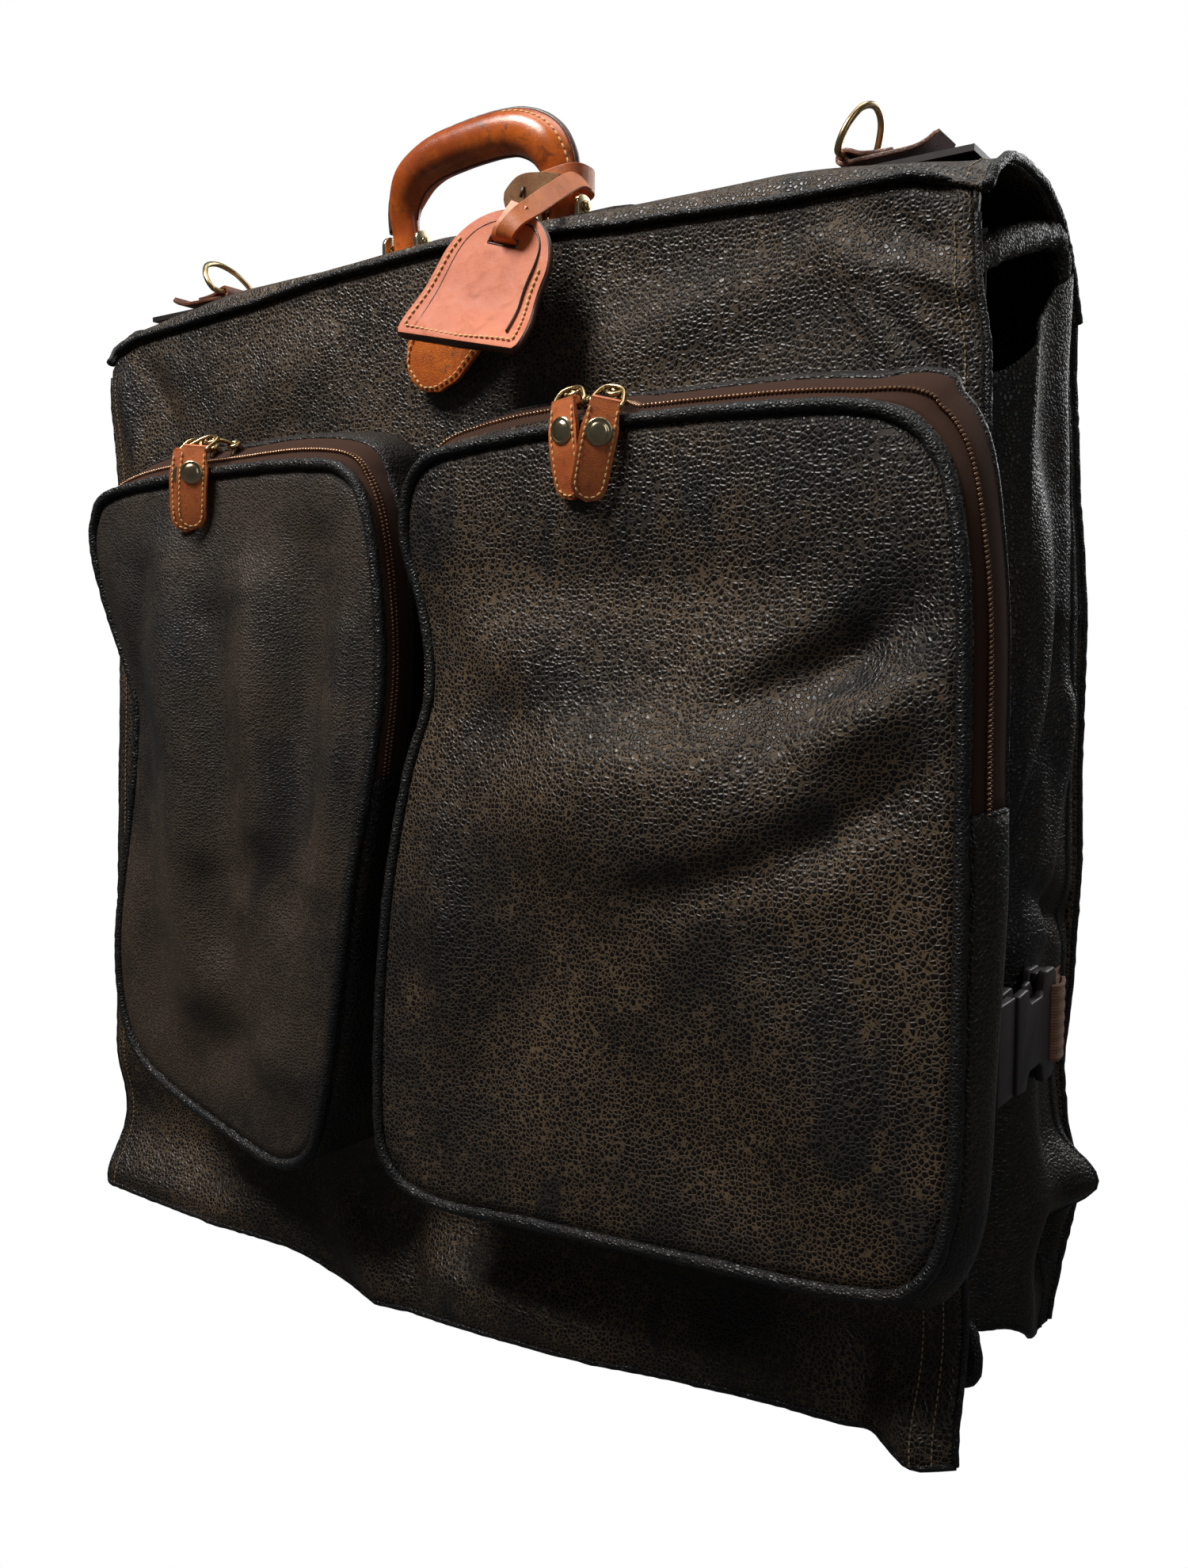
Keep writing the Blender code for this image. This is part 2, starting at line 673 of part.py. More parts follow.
def make_half(name, owner, front, back, top):
    """Outer and inner panels with a U-shaped gusset between them. front, back and top are y, y and z."""
    half = WIDTH / 2
    inside = half - SUEDE
    floor = -HEIGHT
    panels = {"front": ("front_panel", "front_inner_panel"), "rear": ("rear_inner_panel", "rear_panel")}
    slots = {"front": ("suede", "lining"), "rear": ("lining", "suede")}
    first, second = panels[name]
    place(box(first, (-half, front, floor), (half, front + SUEDE, top), slots[name][0]), owner)
    place(box(second, (-half, back - SUEDE, floor), (half, back, top), slots[name][1]), owner)
    outline = [
        (-half, top),
        (-half, floor),
        (half, floor),
        (half, top),
        (inside, top),
        (inside, floor + SUEDE),
        (-inside, floor + SUEDE),
        (-inside, top),
    ]
    low = front + SUEDE + FIT
    high = back - SUEDE - FIT
    place(extrude(f"{name}_gusset", outline, "Y", low, high, "suede"), owner)


def make_main_zip():
    """Tape, slider and pull on the rear half's inner face, inside the fold."""
    face = REAR_START - FIT
    tape = box(
        "main_zip",
        (MAIN_ZIP_X - MAIN_ZIP_HALF_WIDTH, face - MAIN_ZIP_THICK, MAIN_ZIP_TOP - MAIN_ZIP_LENGTH),
        (MAIN_ZIP_X + MAIN_ZIP_HALF_WIDTH, face, MAIN_ZIP_TOP),
        "zip_tape",
    )
    place(tape, "rear_half")
    slider_face = face - MAIN_ZIP_THICK - FIT
    top = MAIN_ZIP_TOP - MAIN_SLIDER_DROP
    body("main_slider", (MAIN_ZIP_X, slider_face, top), "rear_half")
    half = SLIDER_LENGTH / 2
    slider = box("main_zip_slider", (-half, -SLIDER_HEIGHT, -MAIN_SLIDER_LENGTH), (half, 0, 0), "brass")
    place(slider, "main_slider", (MAIN_ZIP_X, slider_face, top))
    outline = pull_outline(MAIN_PULL_HALF_WIDTH, MAIN_PULL_LENGTH)
    near, far = -MAIN_PULL_GAP, -MAIN_PULL_GAP - MAIN_PULL_THICK
    pull = extrude("main_zip_pull", outline, "Y", far, near, "handle_leather")
    pull.data.transform(Matrix.Translation((0, 0, -MAIN_SLIDER_LENGTH)))
    place(pull, "main_slider", (MAIN_ZIP_X, slider_face, top))


def pull_outline(half_width, length):
    """A tab with a straight top and a round end, hanging down from v = 0."""
    return [(half_width, 0), (-half_width, 0)] + arc((0, -length + half_width), half_width, 180, 360, 6)


def make_hanger_clamp():
    """The hanger bracket on the back's inner face, and the lever that clamps the hanger hooks in it."""
    wall = DEPTH - SUEDE - FIT
    low = BRACKET_TOP - BRACKET_HEIGHT
    outline = [
        (wall, BRACKET_TOP),
        (wall - BRACKET_THICK, BRACKET_TOP),
        (wall - BRACKET_THICK, low + BRACKET_THICK),
        (wall - BRACKET_THICK - SHELF_DEPTH, low + BRACKET_THICK),
        (wall - BRACKET_THICK - SHELF_DEPTH, low),
        (wall, low),
    ]
    reach = BRACKET_HALF_LENGTH
    place(extrude("hanger_bracket", outline, "X", -reach, reach, "steel"), "rear_half")
    half = BRACKET_THICK / 2
    pivot = (0, wall - BRACKET_THICK - SHELF_DEPTH + half, low + BRACKET_THICK + CLAMP_CLEARANCE + half)
    body("hanger_clamp", pivot, "rear_half")
    lever = box("hanger_clamp", (-reach, -half, -half), (reach, half, CLAMP_HEIGHT), "steel")
    place(lever, "hanger_clamp", pivot)


# Pockets


def pocket_curve(left, right, inset, low):
    """Up the left side from z = low, round over the top and down the right side."""
    radius = POCKET_TOP_RADIUS - inset
    top = POCKET_TOP - inset
    points = [(left + inset, low)]
    points += arc((left + inset + radius, top - radius), radius, 180, 90, 6)
    points += arc((right - inset - radius, top - radius), radius, 90, 0, 6)
    return points + [(right - inset, low)]


def inverted_u(left, right, low):
    inner = pocket_curve(left, right, POCKET_WALL, low)
    return pocket_curve(left, right, 0, low) + inner[::-1]


def make_pocket(side):
    left, right = POCKETS[side]
    low = ZIP_END + FLAP_GAP
    outline = inverted_u(left, right, low)
    zip_front = ZIP_Y - ZIP_WIDTH / 2
    zip_back = ZIP_Y + ZIP_WIDTH / 2
    frame = extrude(f"{side}_pocket_frame", outline, "Y", zip_back + FIT, -FIT, "suede")
    place(frame, "front_half")
    coil = extrude(f"{side}_pocket_zip", outline, "Y", zip_front, zip_back, "zip_tape")
    place(coil, "front_half")

    hinge = ((left + right) / 2, -POCKET_DEPTH, ZIP_END)
    body(f"{side}_flap", hinge, "front_half")
    curve = pocket_curve(left, right, 0, low)
    flap = extrude(f"{side}_pocket_flap", curve, "Y", -POCKET_DEPTH, zip_front - FIT, "suede")
    flap.data.transform(Matrix.Translation(-Vector(hinge)))
    place(flap, f"{side}_flap", hinge)
    inner = pocket_curve(left, right, POCKET_WALL, low - HOLLOW_PAST_SEAM)
    hollow = extrude(f"{side}_flap_hollow", inner, "Y", -POCKET_DEPTH + POCKET_WALL, 0.0, None)
    hollow.data.transform(Matrix.Translation(-Vector(hinge)))
    boolean(flap, hollow, "DIFFERENCE")

    top = ZIP_END - FLAP_GAP
    shell = pouch_outline(left, right, 0, top)
    pouch = extrude(f"{side}_pocket_pouch", shell, "Y", -POCKET_DEPTH, -FIT, "suede")
    place(pouch, "front_half")
    inside = pouch_outline(left, right, POCKET_WALL, top + HOLLOW_PAST_SEAM)
    hollow = extrude(f"{side}_pouch_hollow", inside, "Y", -POCKET_DEPTH + POCKET_WALL, HOLLOW_PAST_SEAM, None)
    boolean(pouch, hollow, "DIFFERENCE")
    for number, x in enumerate(SLIDERS[side], 1):
        make_slider(side, number, x)


def pouch_outline(left, right, inset, top):
    radius = POCKET_BOTTOM_RADIUS - inset
    low = POCKET_BOTTOM + inset
    points = [(left + inset, top)]
    points += arc((left + inset + radius, low + radius), radius, 180, 270, 5)
    points += arc((right - inset - radius, low + radius), radius, 270, 360, 5)
    return points + [(right - inset, top)]


def make_slider(side, number, x):
    """A slider on top of the zip, with a bail over it, a link through the bail and a leather pull."""
    foot = POCKET_TOP + FIT
    bail_z = SLIDER_HEIGHT + BAIL_INNER
    name = f"{side}_slider_{number}"
    body(name, (x, ZIP_Y, foot), f"{side}_flap")
    half = SLIDER_LENGTH / 2
    deep = SLIDER_DEPTH / 2
    slider = box(name, (-half, -deep, 0), (half, deep, SLIDER_HEIGHT), "brass")
    place(slider, name, (x, ZIP_Y, foot))
    hook = [(BAIL_INNER + BAIL_WIRE / 2, SLIDER_HEIGHT - 0.001)]
    hook += arc((0, bail_z), BAIL_INNER + BAIL_WIRE / 2, 0, 200, 8)
    bail = extrude(
        f"{name}_bail", thick_line(hook, BAIL_WIRE / 2), "X", -BAIL_WIDTH / 2, BAIL_WIDTH / 2, None
    )
    boolean(slider, bail, "UNION")

    pull = f"{side}_pull_{number}"
    pivot = Vector((x, ZIP_Y, foot + bail_z))
    body(pull, pivot, name)
    corner = LINK_CORNER
    shape = rounded_rectangle(
        -LINK_HALF_WIDTH, LINK_HALF_WIDTH, -LINK_REACH, 0, corner, corner, 3
    )
    slope = LINK_DROP / LINK_REACH
    path = [Vector((u, v, v * slope)) for u, v in shape]
    link = wire(f"{side}_link_{number}", path, Vector((0, -slope, 1)), LINK_WIRE, "brass", True, 6)
    place(link, pull, pivot)
    bar = (-LINK_REACH, -LINK_DROP)
    loop = LINK_WIRE + FIT + PULL_LAYER / 2
    line = arc(bar, loop, -35, 180, 10)
    line += [(bar[0] - loop, bar[1] - PULL_STRAIGHT), (bar[0] - loop, bar[1] - PULL_LENGTH)]
    tab = extrude(
        f"{side}_pull_{number}",
        thick_line(line, PULL_LAYER / 2),
        "X",
        -PULL_HALF_WIDTH,
        PULL_HALF_WIDTH,
        "tag_leather",
        50,
    )
    place(tab, pull, pivot)


# Buckles


def make_buckle(side, sign):
    """A side-release buckle: the male half on the front, the female half on the rear, both on webbing."""
    inner = WIDTH / 2 + BUCKLE_STANDOFF
    outer = inner + BUCKLE_THICK
    middle = (inner + outer) / 2
    female_back = FEMALE_FRONT + FEMALE_LENGTH
    slot_y = female_back - FEMALE_SLOT_BACK
    pivot = (sign * middle, FEMALE_FRONT, BUCKLE_Z)
    body(f"{side}_female", pivot, "rear_half")

    def part(name, low, high, slot=None):
        """A box given by y and z from the buckle's centre, and x from its middle, outwards positive."""
        xs = sorted((sign * low[0], sign * high[0]))
        return box(name, (xs[0], low[1], low[2]), (xs[1], high[1], high[2]), slot)

    thick = BUCKLE_THICK / 2
    tall = BUCKLE_HALF_HEIGHT
    cavity, room = CAVITY_HALF_HEIGHT, CAVITY_HALF_THICK
    web_tall = WEB_HALF_WIDTH + WEB_SLOT_ROOM
    near, far = (slot_y - pivot[1] + edge for edge in FEMALE_SLOT_SPAN)
    name = f"{side}_buckle_female"
    female = part(name, (-thick, 0, -tall), (thick, FEMALE_LENGTH, tall), "buckle_plastic")
    place(female, f"{side}_female", pivot)
    cuts = [
        ("mouth", (-room, -THROUGH, -cavity), (room, CAVITY_DEPTH, cavity)),
        ("window", (-room, WINDOW_SPAN[0], -tall - THROUGH), (room, WINDOW_SPAN[1], tall + THROUGH)),
        ("slot", (-THROUGH, near, -web_tall), (THROUGH, far, web_tall)),
    ]
    for label, low, high in cuts:
        boolean(female, part(f"{name}_{label}", low, high), "DIFFERENCE")

    base_length = FEMALE_FRONT - FIT * 2 - MALE_FRONT
    at = (sign * middle, MALE_FRONT, BUCKLE_Z)
    name = f"{side}_buckle_male"
    low, high = (-MALE_HALF_THICK, 0, -MALE_HALF_HEIGHT), (MALE_HALF_THICK, base_length, MALE_HALF_HEIGHT)
    male = part(name, low, high, "buckle_plastic")
    place(male, "front_half", at)
    prong = PRONG_HALF_THICK
    reach = base_length + PRONG_LENGTH
    prong_out = cavity - PRONG_CLEARANCE
    for label, low_z, high_z in (
        ("upper", prong_out - PRONG_HEIGHT, prong_out),
        ("lower", -prong_out, -prong_out + PRONG_HEIGHT),
        ("guide", -GUIDE_HALF_HEIGHT, GUIDE_HALF_HEIGHT),
    ):
        length = reach - (GUIDE_SHORTER if label == "guide" else 0)
        arm = part(f"{name}_{label}", (-prong, base_length - JOIN, low_z), (prong, length, high_z))
        boolean(male, arm, "UNION")
    near, far = MALE_SLOT_SPAN
    slot_cut = part(f"{name}_slot", (-THROUGH, near, -web_tall), (THROUGH, far, web_tall))
    boolean(male, slot_cut, "DIFFERENCE")

    web_inner = WIDTH / 2 + WEB_STANDOFF
    male_turn = MALE_FRONT + sum(MALE_SLOT_SPAN) / 2
    paths = {
        f"{side}_rear_webbing": (
            [(web_inner, DEPTH - 0.004), (web_inner, slot_y), (outer + WEB_OVER, slot_y),
             (outer + WEB_OVER, slot_y + WEB_TAIL)],
            "rear_half",
        ),
        f"{side}_front_webbing": (
            [(web_inner, 0.002), (web_inner, male_turn), (middle + WEB_FOLD, male_turn),
             (middle + WEB_FOLD, 0.004)],
            "front_half",
        ),
    }
    for web, (line, owner) in paths.items():
        outline = [(sign * x, y) for x, y in thick_line(line, WEB_THICK / 2)]
        strap = extrude(web, outline, "Z", -WEB_HALF_WIDTH, WEB_HALF_WIDTH, "webbing")
        place(strap, owner, (0, 0, BUCKLE_Z))


def make_all():
    clear_scene()
    MATERIALS.update(make_materials())
    body("handle", (0, HANDLE_Y, PIN_Z))
    body("spine", (0, HANDLE_Y, PIN_Z), "handle")
    body("tag", TAG_HINGE, "spine")
    body("front_half", (0, 0, 0), "spine")
    body("rear_half", (0, DEPTH, -REAR_DROP), "spine")
    make_top()
    make_handle()
    make_strap()
    make_tag()
    make_half("front", "front_half", 0.0, FRONT_DEPTH, -FIT)
    make_half("rear", "rear_half", REAR_START, DEPTH, -REAR_DROP - FIT)
    make_main_zip()
    make_hanger_clamp()
    for side, sign in SIDES:
        make_pocket(side)
        make_buckle(side, sign)


make_all()
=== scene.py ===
"""A folding garment bag hung by its handle: pebbled dark suede, tan leather trim and brass hardware."""

import math
from mathutils import Euler, Matrix, Vector, noise
import bpy


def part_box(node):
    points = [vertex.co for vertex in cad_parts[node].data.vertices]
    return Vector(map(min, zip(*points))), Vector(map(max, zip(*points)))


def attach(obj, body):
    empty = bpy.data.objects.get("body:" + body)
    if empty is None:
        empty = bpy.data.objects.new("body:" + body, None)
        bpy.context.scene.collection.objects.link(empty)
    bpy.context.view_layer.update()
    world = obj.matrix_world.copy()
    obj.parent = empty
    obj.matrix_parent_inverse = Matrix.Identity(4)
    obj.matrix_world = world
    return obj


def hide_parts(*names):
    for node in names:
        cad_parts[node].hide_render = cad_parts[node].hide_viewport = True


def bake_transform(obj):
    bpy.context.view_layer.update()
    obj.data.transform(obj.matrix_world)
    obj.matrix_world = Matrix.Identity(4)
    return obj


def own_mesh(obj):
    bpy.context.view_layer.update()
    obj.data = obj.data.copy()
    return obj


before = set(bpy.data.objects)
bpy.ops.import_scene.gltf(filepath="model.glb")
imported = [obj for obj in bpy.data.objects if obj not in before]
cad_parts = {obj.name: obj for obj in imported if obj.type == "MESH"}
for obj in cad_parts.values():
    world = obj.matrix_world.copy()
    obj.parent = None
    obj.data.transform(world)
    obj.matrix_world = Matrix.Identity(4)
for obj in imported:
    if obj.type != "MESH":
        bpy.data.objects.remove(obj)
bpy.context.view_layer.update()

SHIFT = Vector((0, -0.038, -0.0675))  # from the top front seam's middle to the row frame's origin
HALF = 0.291  # half the width of the body
SIDES = ((-1, "left"), (1, "right"))
SCENE = bpy.context.scene


# Numbers and curves


def smooth(a, b, x):
    t = min(1.0, max(0.0, (x - a) / (b - a)))
    return t * t * (3 - 2 * t)


def mix(a, b, t):
    return a + (b - a) * t


def mm(value):
    """Metres from millimetres, through any nesting of lists and tuples."""
    if isinstance(value, (int, float)):
        return value / 1000
    return type(value)(mm(v) for v in value)


def vec(x, y, z):
    return Vector((x, y, z))


def spread(low, high, gaps):
    """Evenly spaced values from low to high, both included."""
    return [mix(low, high, k / gaps) for k in range(gaps + 1)]


def angles(count):
    return [math.tau * k / count for k in range(count)]


def power(value, exponent):
    return math.copysign(abs(value) ** exponent, value)


def about(point, angle, axis):
    """A turn about the point."""
    return Matrix.Translation(point) @ Matrix.Rotation(angle, 4, axis) @ Matrix.Translation(-point)


def table(rows, x):
    """Value at x on a smooth line through the rows (x, value)."""
    if x <= rows[0][0]:
        return rows[0][1]
    for (x0, v0), (x1, v1) in zip(rows, rows[1:]):
        if x <= x1:
            return mix(v0, v1, smooth(x0, x1, x) * 0.5 + 0.5 * (x - x0) / (x1 - x0))
    return rows[-1][1]


def grain(x, z, scale, seed):
    return noise.noise(Vector((x * scale, seed * 7.31, z * scale)))


def crease(x, z, start, end, width, height):
    """A soft ridge of that height along the line from start to end."""
    ax, az = start
    bx, bz = end
    dx, dz = bx - ax, bz - az
    t = min(1.0, max(0.0, ((x - ax) * dx + (z - az) * dz) / (dx * dx + dz * dz)))
    gap2 = (x - ax - t * dx) ** 2 + (z - az - t * dz) ** 2
    return height * math.exp(-gap2 / (width * width)) * (0.35 + 0.65 * math.sin(math.pi * (0.15 + 0.7 * t)))


def spline(points, steps, closed=False):
    """Catmull-Rom curve through the points, with that many steps for each gap."""
    points = [Vector(p) for p in points]
    count = len(points)
    out = []
    for i in range(count if closed else count - 1):
        if closed:
            p0, p1, p2, p3 = (points[(i + k) % count] for k in (-1, 0, 1, 2))
        else:
            p1, p2 = points[i], points[i + 1]
            p0 = points[i - 1] if i else p1 * 2 - p2
            p3 = points[i + 2] if i + 2 < count else p2 * 2 - p1
        for k in range(steps):
            t = k / steps
            square = 2 * p0 - 5 * p1 + 4 * p2 - p3
            cube = 3 * p1 - p0 - 3 * p2 + p3
            out.append(0.5 * (2 * p1 + (p2 - p0) * t + square * t * t + cube * t * t * t))
    if not closed:
        out.append(points[-1])
    return out


def resample(points, gap, closed=False):
    """Points a nearly even gap apart along the line."""
    line = list(points) + ([points[0]] if closed else [])
    lengths = [0.0]
    for a, b in zip(line, line[1:]):
        lengths.append(lengths[-1] + (b - a).length)
    count = max(2, round(lengths[-1] / gap))
    out, k = [], 0
    for i in range(count if closed else count + 1):
        want = lengths[-1] * i / count
        while k < len(line) - 2 and lengths[k + 1] < want:
            k += 1
        part = (want - lengths[k]) / max(1e-9, lengths[k + 1] - lengths[k])
        out.append(line[k].lerp(line[k + 1], min(1.0, part)))
    return out


def frames(points, closed=False, up=None):
    """Tangent, side and normal at each point."""
    count = len(points)
    out = []
    side = None
    for i in range(count):
        if closed:
            tangent = points[(i + 1) % count] - points[i - 1]
        else:
            tangent = points[min(i + 1, count - 1)] - points[max(i - 1, 0)]
        tangent.normalize()
        if up is not None:
            side = tangent.cross(Vector(up)).normalized()
        elif side is None:
            side = tangent.cross(vec(0, 0, 1) if abs(tangent.z) < 0.9 else vec(0, 1, 0)).normalized()
        else:
            side = (side - tangent * side.dot(tangent)).normalized()
        out.append((tangent, side, side.cross(tangent).normalized()))
    return out


# Meshes


class Shape:
    """Vertices and faces in bag coordinates, gathered before they become an object."""

    def __init__(self):
        self.verts, self.faces = [], []

    def add(self, verts, faces):
        start = len(self.verts)
        self.verts += [Vector(v) for v in verts]
        self.faces += [[start + i for i in f] for f in faces]

    def grid(self, rows, closed=False, flip=False):
        wide = len(rows[0])
        faces = []
        for r in range(len(rows) - 1):
            for c in range(wide if closed else wide - 1):
                d = (c + 1) % wide
                face = [r * wide + c, r * wide + d, (r + 1) * wide + d, (r + 1) * wide + c]
                faces.append(face[::-1] if flip else face)
        self.add([v for row in rows for v in row], faces)

    def skin(self, rows, flip=False):
        """A closed tube through the rings of points, with a face over each end."""
        start, wide = len(self.verts), len(rows[0])
        self.grid(rows, True, flip)
        end = start + (len(rows) - 1) * wide
        caps = [list(range(start, start + wide))[::-1], list(range(end, end + wide))]
        self.faces += [cap[::-1] for cap in caps] if flip else caps

    def tube(self, points, radius, sides=8, closed=False, up=None, deep=None, bump=0.0):
        """A round or oval rod along the points. radius and deep are numbers or functions of 0 to 1."""
        rows = []
        last = len(points) - (0 if closed else 1)
        for i, (p, (tangent, side, normal)) in enumerate(zip(points, frames(points, closed, up))):
            t = i / last
            wide = radius(t) if callable(radius) else radius
            high = wide if deep is None else (deep(t) if callable(deep) else deep)
            row = []
            for k, angle in enumerate(angles(sides)):
                swell = 1 + (bump * grain(p.x + p.y + k * 0.37, p.z, 260, k) if bump else 0)
                row.append(p + side * math.cos(angle) * wide * swell
                           + normal * math.sin(angle) * high * swell)
            rows.append(row)
        if closed:
            self.grid(rows + rows[:1], True)
        else:
            self.skin(rows)

    def outline(self, points, low, high, axes="XZY"):
        """A flat plate from a closed outline: the first two axes hold it and the third is its thickness."""
        a, b, c = ("XYZ".index(k) for k in axes)
        count = len(points)
        verts = []
        for level in (low, high):
            for u, v in points:
                p = vec(0, 0, 0)
                p[a], p[b], p[c] = u, v, level
                verts.append(p)
        faces = [list(range(count))[::-1], list(range(count, 2 * count))]
        faces += [[i, (i + 1) % count, count + (i + 1) % count, count + i] for i in range(count)]
        self.add(verts, faces)

    def stitches(self, points, gap=0.0032, length=0.0023, radius=0.00042):
        """A row of thread stitches along the points."""
        line = resample(points, gap)
        for a, b in zip(line, line[1:]):
            way = (b - a).normalized()
            side = way.cross(vec(0.31, 0.77, 0.55)).normalized()
            other = way.cross(side)
            rows = []
            for along, r in ((-0.5, 0.35), (-0.3, 0.85), (0.0, 1.0), (0.3, 0.85), (0.5, 0.35)):
                p = (a + b) / 2 + way * length * along
                rows.append([p + (side * math.cos(k) + other * math.sin(k)) * radius * r for k in angles(6)])
            self.skin(rows, True)

    def ball(self, centre, radii, rings=6, sides=10, turn=None):
        """An egg-shaped bead."""
        rows = []
        for r in range(rings + 1):
            lat = math.pi * (r + 0.001) / (rings + 0.002)
            row = []
            for lon in angles(sides):
                way = (math.sin(lat) * math.cos(lon), math.sin(lat) * math.sin(lon), math.cos(lat))
                p = Vector([w * radius for w, radius in zip(way, radii)])
                row.append(Vector(centre) + (turn @ p if turn else p))
            rows.append(row)
        self.grid(rows, True, True)

    def turned(self, centre, profile, axis=(0, -1, 0), sides=28):
        """A lathe shape: profile of (radius, height along the axis)."""
        axis = Vector(axis).normalized()
        side = axis.orthogonal().normalized()
        other = axis.cross(side)
        self.grid([[Vector(centre) + (side * math.cos(a) + other * math.sin(a)) * max(radius, 1e-5)
                    + axis * high
                    for a in angles(sides)] for radius, high in profile], True)

    def moved(self, matrix):
        for v in self.verts:
            v[:] = matrix @ v

    def piece(self, name, body, material, slot, stands_for=(), bevel=0, solid=0, offset=-1.0):
        """The object made of this shape. It rides on the body when one is given; otherwise it stays loose in the
        scene.
        """
        mesh = bpy.data.meshes.new(name)
        mesh.from_pydata([v + SHIFT for v in self.verts], [], self.faces)
        mesh.validate()
        mesh.materials.append(material)
        for polygon in mesh.polygons:
            polygon.use_smooth = True
        obj = bpy.data.objects.new(name, mesh)
        SCENE.collection.objects.link(obj)
        if solid:
            mod = obj.modifiers.new("thickness", "SOLIDIFY")
            mod.thickness = solid
            mod.offset = offset
        if bevel:
            soften(obj, bevel, 40)
        if body:
            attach(obj, body)
        if stands_for:
            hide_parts(*stands_for)
        return obj


def soften(obj, width, angle=30):
    """Rounds the edges sharper than the angle in degrees."""
    mod = obj.modifiers.new("edges", "BEVEL")
    mod.width = width
    mod.segments = 3
    mod.limit_method = "ANGLE"
    mod.angle_limit = math.radians(angle)


# Materials


class Paint:
    """A small helper round a material's nodes."""

    def __init__(self, name):
        self.mat = bpy.data.materials.new(name)
        self.mat.use_nodes = True
        self.tree = self.mat.node_tree
        self.bsdf = self.tree.nodes["Principled BSDF"]
        self.coords = self.tree.nodes.new("ShaderNodeTexCoord").outputs["Object"]

    def node(self, kind, settings=None, values=(), **inputs):
        node = self.tree.nodes.new("ShaderNode" + kind)
        for key, value in (settings or {}).items():
            setattr(node, key, value)
        for i, value in enumerate(values):
            self.feed(node.inputs[i], value)
        for key, value in inputs.items():
            self.feed(node.inputs[key.replace("_", " ")], value)
        return node

    def feed(self, socket, value):
        if isinstance(value, bpy.types.NodeSocket):
            self.tree.links.new(value, socket)
        elif value is not None:
            socket.default_value = value

    def math(self, kind, a, b=0.0, clamp=False):
        return self.node("Math", {"operation": kind, "use_clamp": clamp}, [a, b]).outputs[0]

    def range(self, value, low, high):
        """0 at low and 1 at high, with a soft step between."""
        node = self.node("MapRange", {"interpolation_type": "SMOOTHSTEP"}, Value=value, From_Min=low,
                         From_Max=high)
        return node.outputs["Result"]

    def mix(self, fac, a, b):
        node = self.tree.nodes.new("ShaderNodeMix")
        node.data_type = "RGBA"
        self.feed(node.inputs[0], fac)
        self.feed(node.inputs[6], (*a, 1) if isinstance(a, tuple) else a)
        self.feed(node.inputs[7], (*b, 1) if isinstance(b, tuple) else b)
        return node.outputs[2]

    def noise(self, scale, detail=3.0, rough=0.55, vector=None, distortion=0.0):
        node = self.node("TexNoise", Vector=vector or self.coords, Scale=scale, Detail=detail,
                         Roughness=rough)
        node.inputs["Distortion"].default_value = distortion
        return node.outputs["Fac"]

    def stretched(self, scale, turn=(0, 0, 0)):
        node = self.node("Mapping", Vector=self.coords, Scale=scale, Rotation=turn)
        return node.outputs["Vector"]

    def cells(self, scale, feature="DISTANCE_TO_EDGE", vector=None, randomness=0.9):
        node = self.tree.nodes.new("ShaderNodeTexVoronoi")
        node.feature = feature
        self.feed(node.inputs["Vector"], vector or self.coords)
        node.inputs["Scale"].default_value = scale
        node.inputs["Randomness"].default_value = randomness
        return node.outputs["Distance"]

    def bump(self, height, strength, distance, before=None):
        node = self.node("Bump", Height=height, Strength=strength, Distance=distance)
        if before is not None:
            self.feed(node.inputs["Normal"], before)
        return node.outputs["Normal"]

    def finish(self, color, roughness, normal=None, **fixed):
        self.feed(self.bsdf.inputs["Base Color"], (*color, 1) if isinstance(color, tuple) else color)
        self.feed(self.bsdf.inputs["Roughness"], roughness)
        if normal is not None:
            self.feed(self.bsdf.inputs["Normal"], normal)
        for key, value in fixed.items():
            self.bsdf.inputs[key.replace("_", " ")].default_value = value
        return self.mat


